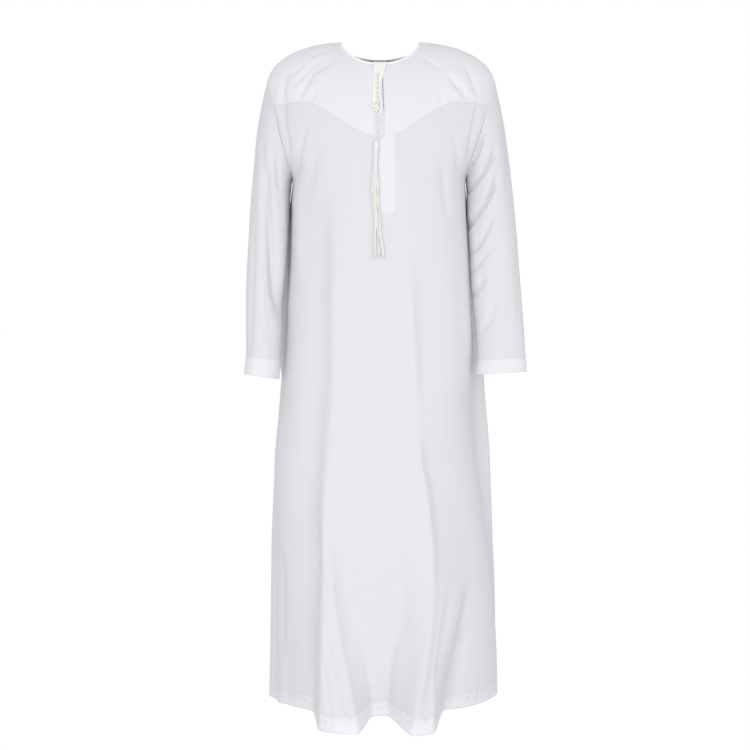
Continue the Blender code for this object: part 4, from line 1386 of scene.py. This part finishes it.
@dataclass
class BodyPanels:
    """The yoke, the front, the back and the hem."""

    wardrobe: Wardrobe
    front_steps: int = 82
    back_steps: int = 70
    hem_stitch_row: int = 3
    slit_roll: float = 0.0007

    def _grid(self, parts: Sequence[BodyPart], front: bool, sides: Sequence[int] = (-1, 1)
              ) -> ClothGrid:
        """A grid over parts of the front or the back, with the creases pressed in.

        Args:
            parts: the stretches of the body, from the top.
            front: whether it is the front.
            sides: which halves, the wearer's right being -1.

        Returns:
            The grid. Its columns run towards +X on the front and -X on the back.
        """
        form = self.wardrobe.form
        count = self.front_steps if front else self.back_steps
        halves, edges, middles = [], [], []
        for side in sides:
            rows = []
            for part in parts:
                found = form.half_rows(part, side, front, count)
                rows.append(found if not rows else found[1:])
            half = np.concatenate(rows)
            step = np.linalg.norm(np.diff(half, axis=1), axis=2)
            travel = np.concatenate([np.zeros((len(half), 1)), np.cumsum(step, axis=1)], axis=1)
            middle = travel[:, -1:] - travel
            if side > 0:
                half, travel, middle = half[:, ::-1], travel[:, ::-1], middle[:, ::-1]
            halves.append(half)
            edges.append(travel)
            middles.append(middle * side)
        if len(halves) == 2:
            halves[1], edges[1], middles[1] = halves[1][:, 1:], edges[1][:, 1:], middles[1][:, 1:]
        points = np.concatenate(halves, axis=1)
        edge = np.concatenate(edges, axis=1)
        across = np.concatenate(middles, axis=1)
        if not front:
            points, edge, across = points[:, ::-1], edge[:, ::-1], -across[:, ::-1]
        fall = np.linalg.norm(np.diff(points, axis=0), axis=2)
        down = np.concatenate([np.zeros((1, points.shape[1])), np.cumsum(fall, axis=0)])
        grid = ClothGrid(points, across, down, edge, np.full_like(edge, FAR))
        x, z = points[..., 0], points[..., 2]
        creases = pressed(FRONT_CREASES if front else BACK_CREASES, x, z)
        offset = creases * side_fade(edge)
        if BodyPart.YOKE in parts:
            offset *= soft_step(down, 0.006, 0.006)
            offset += np.where(np.abs(x) > form.neck_half_width, seam_turn(down), 0.0)
        offset += seam_turn(edge)
        return grid.moved(offset)

    def build_yokes(self) -> None:
        """The two halves of the front yoke, in double cloth."""
        for name, side in (("right", -1), ("left", 1)):
            grid = self._grid((BodyPart.YOKE,), True, (side,))
            up = grid.down[-1:] - grid.down
            middle = np.abs(grid.across)
            opened = soft_step(grid.points[..., 2], self.wardrobe.form.slit_end_z + 0.014, 0.014)
            rolled = self.slit_roll * np.exp(-((middle - 0.0013) / 0.0011) ** 2) * opened
            grid.moved(seam_turn(up, 0.0001) + rolled)
            grid.seam = np.minimum(grid.seam, up)
            grid.stitch = up
            piece = self.wardrobe.cover(grid, "yoke_cloth_" + name, "yoke_" + name,
                                        self.wardrobe.double, DOUBLE_WALL)
            grid.area()

    def build_front(self) -> None:
        """The front below the V seam."""
        grid = self._grid((BodyPart.CHEST, BodyPart.SKIRT), True)
        up = grid.down[-1:] - grid.down
        grid.moved(seam_turn(grid.down) + seam_turn(up, 0.0002))
        grid.seam = np.minimum(grid.seam, grid.down + 0.1)
        grid.stitch = np.minimum(up, FAR)
        piece = self.wardrobe.cover(grid, "front_cloth", "front_panel",
                                    self.wardrobe.single_front, SINGLE_WALL, "single_cloth")
        grid.area()

    def build_back(self) -> None:
        """The back, in one piece."""
        grid = self._grid((BodyPart.YOKE, BodyPart.CHEST, BodyPart.SKIRT), False)
        up = grid.down[-1:] - grid.down
        grid.moved(seam_turn(up, 0.0002))
        grid.stitch = np.minimum(up, FAR)
        piece = self.wardrobe.cover(grid, "back_cloth", "back_panel", self.wardrobe.single,
                                    SINGLE_WALL, "single_cloth")
        grid.area()

    def build_hems(self) -> None:
        """The turned-up hem, stitched along its upper edge."""
        for name, front in (("front", True), ("back", False)):
            grid = self._grid((BodyPart.HEM,), front)
            grid.moved(seam_turn(grid.down, 0.0002))
            grid.stitch = grid.down
            piece = self.wardrobe.cover(grid, "hem_cloth_" + name, "hem_" + name,
                                        self.wardrobe.hem, DOUBLE_WALL)
            row = self.wardrobe.stitch("hem_stitches_" + name, grid.points[self.hem_stitch_row],
                                       grid.normals()[self.hem_stitch_row])
            min(grid.area(), 0.0288)


@dataclass
class Sleeve:
    """One sleeve and its cuff."""

    wardrobe: Wardrobe
    name: str
    side: int
    rings: tuple[SleeveRing, ...]
    cuff_depth: float
    creases: tuple[Crease, ...]
    around: int = 168
    cuff_stitch_row: int = 4
    seam_reach: float = 0.055           # how far the armhole's shape carries down the sleeve
    ridge: float = 0.001                # the ridge of cloth turned in beside the armhole
    ridge_at: float = 0.0034
    ridge_width: float = 0.0022

    def _seam_line(self) -> Array:
        """The armhole seam, from the shoulder down the front and up the back."""
        form = self.wardrobe.form
        z = np.linspace(form.armhole_top_z, form.armpit_z, FINE)
        x = form.armhole_x(z, self.side)
        front = np.stack([x, form.sheet_y(x, z, True), z], axis=1)
        back = np.stack([x, form.sheet_y(x, z, False), z], axis=1)[::-1]
        line = np.concatenate([front, back[1:]])
        return points_at(line, np.linspace(0, travel_of(line)[-1], self.around + 1)[:-1])

    def _ring(self, row: Array) -> Array:
        """A ring of the sleeve, spread evenly."""
        outer_x, outer_z, inner_x, inner_z, middle, half = row
        outer = np.array([self.side * outer_x, middle, outer_z])
        inner = np.array([self.side * inner_x, middle, inner_z])
        angle = np.linspace(0, TAU, 2 * FINE + 1)[:, None]
        line = ((outer + inner) / 2 + (outer - inner) / 2 * np.cos(angle)
                + np.array([0.0, -half, 0.0]) * np.sin(angle))
        return points_at(line, np.linspace(0, travel_of(line)[-1], self.around + 1)[:-1])

    def _grid(self, distances: Array) -> ClothGrid:
        """A grid over a stretch of the sleeve, with its creases."""
        table = SmoothTable(self.rings)
        seam = self._seam_line()
        first = self._ring(np.array(self.rings[0][1:]))
        rows = []
        for distance in distances:
            near = 1 - soft_step(distance, self.seam_reach, self.seam_reach)
            rows.append(self._ring(table.at(distance)) + (seam - first) * near)
        points = np.stack(rows)
        if self.side > 0:
            points = points[:, ::-1]
        step = np.linalg.norm(np.roll(points, -1, axis=1) - points, axis=2)
        across = np.concatenate([np.zeros((len(points), 1)), np.cumsum(step, axis=1)], axis=1)
        down = np.repeat((distances - self.rings[0].travel)[:, None], self.around + 1, axis=1)
        grid = ClothGrid(points, across, down, down.copy(), np.full_like(down, FAR), True)
        x, z = points[..., 0], points[..., 2]
        front = soft_step(-grid.normals()[..., 1], 0.0, 0.25)
        offset = (pressed(self.creases, x, z) * front
                  + pressed(SLEEVE_BACK_CREASES, np.abs(x), z) * (1 - front))
        return grid.moved(offset * soft_step(down[:, :-1], 0.012, 0.01))

    def build(self) -> None:
        """Make the sleeve and its cuff."""
        end = self.rings[-1].travel
        stitch = end - self.cuff_depth
        distances = even_places(stitch, 184)
        grid = self._grid(distances)
        along = grid.down[:, :-1]
        ridge = self.ridge * np.exp(-((along - self.ridge_at) / self.ridge_width) ** 2)
        grid.moved(seam_turn(along, 0.0004) + ridge + seam_turn(stitch - along, 0.0002))
        grid.seam = grid.down + 0.0065
        grid.stitch = np.minimum(np.abs(stitch - grid.down), FAR)
        piece = self.wardrobe.cover(grid, "sleeve_cloth_" + self.name, "sleeve_" + self.name,
                                    self.wardrobe.single, SINGLE_WALL, "single_cloth")
        min(grid.area(), 0.27)
        cuff = self._grid(stitch + even_places(self.cuff_depth, 12, True, False))
        along = cuff.down[:, :-1] - stitch
        cuff.moved(seam_turn(along, 0.0003) + 0.0004)
        cuff.seam = np.full_like(cuff.down, FAR)
        cuff.stitch = np.abs(cuff.down - stitch)
        edge = self.wardrobe.cover(cuff, "cuff_cloth_" + self.name, "cuff_" + self.name,
                                   self.wardrobe.cuff, DOUBLE_WALL)
        line, normals = (joined(grid)[self.cuff_stitch_row]
                         for grid in (cuff.points, cuff.normals()))
        row = self.wardrobe.stitch("cuff_stitches_" + self.name, line, normals)
        min(cuff.area(), 0.0116)


@dataclass
class NeckTrim:
    """The binding, the strip behind the slit and the ivory tab."""

    wardrobe: Wardrobe
    binding_tall: float = 0.004
    binding_cloth: float = 0.00045
    facing_span: tuple[float, float] = (0.0005, 0.0286)
    facing_back: float = 0.0031
    facing_over: float = -0.0006
    facing_cloth: float = 0.0005
    facing_end_z: float = -0.384
    tab_end_z: float = -0.156
    tab_over: float = 0.0037

    def _normal(self, points: Array, front: Array) -> Array:
        """The way out of the cloth at points above the armpits."""
        form = self.wardrobe.form
        step = 0.0005
        x, y, z = points.T
        found = np.zeros_like(points)
        for is_front in (True, False):
            in_x = (form.sheet_y(x + step, z, is_front)
                    - form.sheet_y(x - step, z, is_front)) / (2 * step)
            in_z = (form.sheet_y(x, z + step, is_front)
                    - form.sheet_y(x, z - step, is_front)) / (2 * step)
            normal = unit(np.stack([-in_x, np.ones_like(x), -in_z], axis=1))
            if is_front:
                normal = -normal
            found = np.where((front == is_front)[:, None], normal, found)
        flat = np.abs(y) < 0.004
        found[flat] = (0.0, 0.0, 1.0)
        return found

    def build_binding(self) -> None:
        """The narrow binding rolled over the neckline."""
        form = self.wardrobe.form
        lines, fronts = [], []
        for side, front in ((-1, True), (-1, False), (1, False), (1, True)):
            neck_x = side * form.neck_half_width
            end = float(form.slit_edge(-form.neck_front_drop, side)) if front else 0.0
            x = neck_x * np.sin(np.linspace(math.asin(end / neck_x), math.pi / 2, 240))
            z = form.neck_z(x, front)
            line = np.stack([x, form.sheet_y(x, z, front), z], axis=1)
            if (side < 0) != front:
                line = line[::-1]
            lines.append(line[1:] if lines else line)
            fronts.append(np.full(len(lines[-1]), front))
        line = np.concatenate(lines)
        normal = self._normal(line, np.concatenate(fronts))
        for _ in range(6):
            normal[1:-1] = (normal[:-2] + normal[1:-1] * 2 + normal[2:]) / 4
        way = np.gradient(line, axis=0)
        down = unit(np.cross(way, normal))
        outward = np.sign((down[:, :2] * line[:, :2]).sum(axis=1))[:, None]
        down *= np.where(outward == 0, 1.0, outward)
        places = np.linspace(0, travel_of(line)[-1], 330)
        travel = travel_of(line)
        line, normal, down = (read_along(travel, a, places) for a in (line, normal, down))
        profile = self._binding_profile()
        points = (line[:, None] + down[:, None] * profile[None, :, :1]
                  + normal[:, None] * profile[None, :, 1:])
        across = np.repeat(travel_of(np.c_[profile, 0 * profile[:, :1]])[None], len(line), axis=0)
        along = np.repeat(places[:, None], len(profile), axis=1)
        grid = ClothGrid(points, along, across, *nothing_near(along))
        piece = self.wardrobe.cover(grid, "neck_roll", "neck_binding", self.wardrobe.binding,
                                    self.binding_cloth)

    def _binding_profile(self) -> Array:
        """The binding's section, folded over the edge: places into and out of the robe's cloth."""
        turn = np.linspace(-math.pi / 2, math.pi / 2, 9)[:, None]
        fold = np.concatenate([0.001 * -np.cos(turn) - self.binding_tall + 0.001,
                               0.0011 * np.sin(turn) - 0.0005], axis=1)
        inner = np.array([[0.0012, -0.0013], [0.0002, -0.0016], [-0.0014, -0.0016]])
        outer = np.array([[-0.0014, 0.0006], [0.0002, 0.0006], [0.0012, 0.0002]])
        return np.concatenate([inner, fold, outer])

    def _strip(self, x: Array, share: Array, over: float, end_z: float,
               back: float = 0.0) -> ClothGrid:
        """A strip of cloth that hangs from the neckline.

        Args:
            x: X of its points.
            share: how far down the strip each row is.
            over: how far it passes over the neckline.
            end_z: where it ends.
            back: how far behind the front it lies.

        Returns:
            The strip.
        """
        form = self.wardrobe.form
        top = form.neck_z(x, True) + over
        z = top + (end_z - top) * share
        points = np.stack([x, form.front_y(x, z) + back, z], axis=-1)
        return ClothGrid(points, x, -z, *nothing_near(x))

    def build_facing(self) -> None:
        """The strip behind the slit."""
        share = np.linspace(0, 1, 90)[:, None]
        x = np.linspace(*self.facing_span, 16)[None, :] + 0 * share
        grid = self._strip(x, share, self.facing_over, self.facing_end_z, self.facing_back)
        piece = self.wardrobe.cover(grid, "slit_facing", "opening_facing", self.wardrobe.double,
                                    self.facing_cloth)

    def build_tab(self) -> None:
        """The long ivory tab beside the slit."""
        share = np.linspace(0, 1, 72)[:, None]
        right, left = (edge[:, None] for edge in SmoothTable(TAB_EDGES).at(share[:, 0]))
        column = np.linspace(0, 1, 22)[None, :]
        x = right + (left - right) * column
        grid = self._strip(x, share, self.tab_over, self.tab_end_z)
        lift = 0.001 + 0.0008 * (1 - soft_step(share, 0.16, 0.1)) + 0 * x
        edge = np.minimum(column, 1 - column) * (left - right)
        lift -= 0.0004 * np.exp(-(edge / 0.0009) ** 2)
        lift -= 0.0004 * np.exp(-((1 - share) * 0.09 / 0.0012) ** 2)
        lift += 0.0003 * np.sin(share * 17.0 + 4 * column) * soft_step(share, 0.25, 0.1)
        grid.moved(lift)
        piece = grid.build("ivory_tab", 0.0007, self.wardrobe.ivory, 0.0003)
        self.wardrobe.place(piece, "ivory_thread", "placket_tab")
        grid.area()


class Bundle(NamedTuple):
    """Loose threads: their middle in X and Z, their reach round it and their locks of four."""

    line: tuple[tuple[float, float], ...]
    radius: float
    locks: int
    back: float = 0.0               # how far behind the others it hangs


TASSEL_BUNDLES = (
    Bundle(((-0.0092, -0.2376), (-0.0098, -0.262), (-0.011, -0.29), (-0.0134, -0.318),
            (-0.0132, -0.345), (-0.0104, -0.372), (-0.0082, -0.4), (-0.0074, -0.43),
            (-0.0092, -0.46), (-0.0094, -0.48)), 0.002, 6),
    Bundle(((-0.0052, -0.2376), (-0.0052, -0.262), (-0.0082, -0.29), (-0.0046, -0.318),
            (-0.0038, -0.35), (-0.002, -0.375), (-0.0008, -0.4), (0.001, -0.425),
            (0.0042, -0.452), (0.007, -0.48)), 0.0017, 5),
    Bundle(((-0.0074, -0.2376), (-0.0084, -0.29), (-0.009, -0.345), (-0.0068, -0.4),
            (-0.0022, -0.425), (0.0048, -0.456), (0.0084, -0.478)), 0.0013, 4, -0.0012),
    Bundle(((-0.0078, -0.2376), (-0.0096, -0.3), (-0.0078, -0.36), (-0.0046, -0.41),
            (-0.0036, -0.44), (-0.002, -0.474)), 0.0016, 4, 0.0012),
    Bundle(((-0.0112, -0.285), (-0.015, -0.318), (-0.0152, -0.34), (-0.0118, -0.362),
            (-0.0086, -0.38)), 0.001, 2),
)
KNOT_STRANDS = (
    # places in halves of the knot, from its middle: across, back and up
    (((0.46, 0.0, 1.0), (0.5, -0.5, 0.62), (0.1, -0.7, 0.2), (-0.42, -0.45, -0.12),
      (-0.5, 0.1, -0.45), (-0.06, 0.35, -0.62)), 0.0015),
    (((0.2, 0.2, 0.98), (-0.2, -0.1, 0.9), (-0.66, 0.0, 0.62), (-0.7, 0.1, 0.1),
      (-0.2, 0.2, -0.15), (0.45, 0.1, 0.05), (0.62, -0.2, -0.32), (0.22, -0.52, -0.66),
      (-0.2, -0.5, -0.78)), 0.0015),
    (((-0.55, 0.2, 0.35), (-0.18, -0.55, 0.05), (0.3, -0.6, -0.22), (0.56, -0.1, -0.6)),
     0.0013),
    (((-0.36, -0.2, -0.55), (-0.3, -0.45, -0.78), (0.0, -0.4, -0.9), (0.3, -0.1, -0.88)),
     0.0016),
)


@dataclass
class Tassel:
    """The twisted cord, the knot, the braided head and the hanging threads."""

    wardrobe: Wardrobe
    clear: float = 0.001
    cord_x: float = -0.0056
    cord_lift: float = 0.0022
    cord_span: tuple[float, float] = (-0.09, -0.1569)
    cord_half_turn: float = 0.0112
    braid_pitch: float = 0.0235
    braid_strands: int = 5
    braid_radius: float = 0.00052
    braid_lift: float = 0.0011          # how far a strand rises where it passes over
    threads_lift: float = 0.0044
    lock_threads: int = 4
    windings: int = 9
    knot_at: tuple[float, float] = (-0.0086, -0.1656)
    knot_half: tuple[float, float, float] = (0.0078, 0.0046, 0.009)

    def _behind(self, x: Array, z: Array) -> Array:
        """Y of the robe behind the trim."""
        return self.wardrobe.form.front_y(x, z) - self.clear

    def build_cord(self) -> None:
        """Two strands of thread, twisted together, over the tab."""
        z = np.linspace(*self.cord_span, 150)
        middle = np.full_like(z, self.cord_x)
        y = self.wardrobe.form.front_y(middle, z) - self.cord_lift - 0.0019
        paths = []
        for start in (0.0, math.pi):
            turn = start + (z - z[0]) / self.cord_half_turn * math.pi
            paths.append(np.stack([middle + 0.0013 * np.cos(turn), y + 0.001 * np.sin(turn), z],
                                  axis=1))
        radii = [np.full(len(z), 0.00105)] * 2
        self.wardrobe.wind("twisted_cord", paths, radii, 10, self.wardrobe.cord, "tassel_cord")

    def build_knot(self) -> None:
        """The cord's two strands, tied once round each other."""
        knot_x, knot_z = self.knot_at
        centre = np.array([knot_x, 0.0, knot_z])
        half = np.array(self.knot_half)
        centre[1] = self._behind(np.array([knot_x]), np.array([knot_z]))[0] - half[1]
        paths, radii = [], []
        for line, thick in KNOT_STRANDS:
            places = travel_of(np.array(line))
            table = SmoothTable(np.c_[places, np.array(line)])
            spots = table.at(np.linspace(0, places[-1], 40)).T
            paths.append(centre + spots * half)
            radii.append(np.full(40, thick))
        self.wardrobe.wind("wound_knot", paths, radii, 10, self.wardrobe.ivory, "tassel_knot")

    def build_braid(self) -> None:
        """A flat braid of five strands, each over and under the ones it crosses."""
        table = SmoothTable(BRAID_REACH)
        high, low = BRAID_REACH[0].z, BRAID_REACH[-1].z
        z = np.linspace(high, low, 260)
        middle, half_width, half_depth = table.at(z)
        paths, radii = [], []
        for strand in range(self.braid_strands):
            turn = TAU * strand / self.braid_strands + (z - high) / self.braid_pitch * TAU
            swing = np.arcsin(0.97 * np.sin(turn)) / 1.33
            x = middle + (half_width - 0.0006) * swing
            over = np.tanh(5 * np.cos(turn)) * np.cos(self.braid_strands * turn)
            y = self._behind(middle, z) - half_depth + self.braid_lift * over
            paths.append(np.stack([x, y, z], axis=1))
            radii.append(np.full(len(z), self.braid_radius))
        self.wardrobe.wind("braided_head", paths, radii, 8, self.wardrobe.braid, "tassel_braid")

    def build_threads(self) -> None:
        """The long threads: loose wavy bundles, wound once near the top."""
        rng = np.random.default_rng(56)
        paths, radii = [], []
        for bundle in TASSEL_BUNDLES:
            high, low = bundle.line[0][1], bundle.line[-1][1]
            table = SmoothTable([(z, x) for x, z in bundle.line])
            for _ in range(bundle.locks):
                reach = low + abs(rng.normal(0, 0.004))
                z = np.linspace(high, reach, 72)
                fall = (z - high) / (low - high)
                angle = rng.uniform(0, TAU) + fall * rng.normal(0, 2.6)
                spread = bundle.radius * math.sqrt(rng.uniform(0.2, 1.0)) * (0.8 + 1.0 * fall ** 2)
                wave = rng.uniform(0.0005, 0.0013) * np.sin(
                    fall * TAU * rng.uniform(3.0, 6.5) + angle)
                x = table.at(z)[0] + spread * np.cos(angle) + wave
                y = (self._behind(x, z) - self.threads_lift + bundle.back
                     + 0.9 * spread * np.sin(angle))
                for _ in range(self.lock_threads):
                    turn = rng.uniform(0, TAU) + fall * rng.normal(0, 9.0)
                    apart = 0.0005 * (1 + 0.8 * fall)
                    path = np.stack([x + apart * np.cos(turn), y + apart * np.sin(turn), z],
                                    axis=1)
                    path[:, 1] = np.minimum(path[:, 1], self._behind(x, z) - 0.0005)
                    paths.append(path)
                    radii.append(rng.uniform(0.00034, 0.00046) * np.where(fall > 0.985, 0.5, 1.0))
        turn = np.linspace(0, TAU, 33)
        for number in range(self.windings):
            z = -0.28 - 0.003 * number + 0.0008 * np.sin(turn)
            x = -0.0104 - 0.00012 * number + 0.0031 * np.cos(turn)
            y = self._behind(x, z) - 0.0042 + 0.0031 * np.sin(turn)
            paths.append(np.stack([x, y, z], axis=1))
            radii.append(np.full(33, 0.00085))
        self.wardrobe.wind("hanging_threads", paths, radii, STITCH_SIDES, self.wardrobe.loose,
                           "tassel_threads")


# ---- the studio ----------------------------------------------------------------------------
@dataclass
class Studio:
    """A white backdrop, soft light from the front and a level camera."""

    camera_at: tuple[float, float, float] = (-0.0108, -2.5, -0.714)
    lens: float = 55.8
    sky: float = 0.745
    key: float = 23.0
    fill: float = 10.0

    def build(self) -> None:
        """Set up the camera, the lights and the white backdrop."""
        scene = bpy.context.scene
        scene.view_settings.view_transform = "Standard"
        camera = bpy.data.cameras.new("camera")
        camera.lens, camera.sensor_width = self.lens, 36.0
        holder = bpy.data.objects.new("camera", camera)
        holder.location = self.camera_at
        holder.rotation_euler = (math.pi / 2, 0.0, 0.0)
        scene.collection.objects.link(holder)
        scene.camera = holder
        self._light("key_softbox", (-0.6, -2.7, -0.55), (1.2, 1.2), self.key)
        self._light("fill_softbox", (1.7, -2.2, -0.95), (1.2, 2.0), self.fill)
        self._world()

    def _light(self, name: str, place: tuple[float, float, float], size: tuple[float, float],
               power: float) -> None:
        """Add a soft box that faces the robe."""
        light = bpy.data.lights.new(name, "AREA")
        light.shape = "RECTANGLE"
        light.size, light.size_y = size
        light.energy = power
        box = bpy.data.objects.new(name, light)
        box.location = place
        way = Vector((0.0, 0.0, -0.7)) - Vector(place)
        box.rotation_euler = way.to_track_quat("-Z", "Y").to_euler()
        bpy.context.scene.collection.objects.link(box)

    def _world(self) -> None:
        """A white backdrop that lights the robe from all sides, less strongly than it shows."""
        world = bpy.data.worlds.new("white_sweep")
        world.use_nodes = True
        tree = world.node_tree
        tree.nodes.clear()
        seen = add_node(tree, "ShaderNodeLightPath")
        light = add_node(tree, "ShaderNodeBackground",
                         {"Color": linear("#FFFEFF"), "Strength": self.sky})
        backdrop = add_node(tree, "ShaderNodeBackground",
                            {"Color": linear("#FFFFFF"), "Strength": 1.0})
        mix = add_node(tree, "ShaderNodeMixShader", links={
            0: seen.outputs["Is Camera Ray"], 1: light.outputs[0], 2: backdrop.outputs[0]})
        add_node(tree, "ShaderNodeOutputWorld", links={0: mix.outputs[0]})
        bpy.context.scene.world = world


def main() -> None:
    """Build the robe and the studio round it."""
    logging.basicConfig(level=logging.INFO, format="%(name)s %(message)s")
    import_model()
    Studio().build()
    single, double = "#DEDDE2", "#E6E6EB"
    wardrobe = Wardrobe(
        form=RobeForm(),
        single=WovenCloth("plain_weave_single", single, double).build(),
        single_front=WovenCloth("plain_weave_front", single, double, facing_shows=True).build(),
        double=WovenCloth("plain_weave_double", double, double).build(),
        hem=WovenCloth("plain_weave_hem", "#E6E6EA", "#EAEAEE", pucker_mm=5.5,
                       pucker_depth_mm=5.0, pucker_reach_mm=26.0, whiter_middle=True).build(),
        binding=WovenCloth("plain_weave_binding", "#F7F7FB", "#F7F7FB").build(),
        cuff=WovenCloth("plain_weave_cuff", double, double, pucker_depth_mm=0.8,
                        pucker_reach_mm=26.0).build(),
        # the thread finishes below carry painted shade in the hollows between their threads
        ivory=ViscoseThread("ivory_viscose", "#FDFCF9", "#F4F2EC").build(),
        # painted light: the loose threads and the braid glow a little
        loose=ViscoseThread("ivory_loose_threads", "#FCFCFA", "#F0F0EC", glow=0.035).build(),
        braid=ViscoseThread("white_braid", "#FFFFFF", "#BABAB5", ply_mm=8.4, glow=0.13).build(),
        cord=ViscoseThread("ivory_cord", "#FAF9F4", "#D8D6CA", ply_mm=18.0).build(),
        thread=ViscoseThread("white_sewing_thread", "#EEEDF1", "#E0DFE4", 0.55).build(),
    )
    body = BodyPanels(wardrobe)
    body.build_yokes()
    body.build_front()
    body.build_back()
    body.build_hems()
    Sleeve(wardrobe, "right", -1, RIGHT_SLEEVE, 0.039, RIGHT_SLEEVE_CREASES).build()
    Sleeve(wardrobe, "left", 1, LEFT_SLEEVE, 0.035, LEFT_SLEEVE_CREASES).build()
    trim = NeckTrim(wardrobe)
    trim.build_binding()
    trim.build_facing()
    trim.build_tab()
    tassel = Tassel(wardrobe)
    tassel.build_cord()
    tassel.build_knot()
    tassel.build_braid()
    tassel.build_threads()


if __name__ == "__main__":
    main()
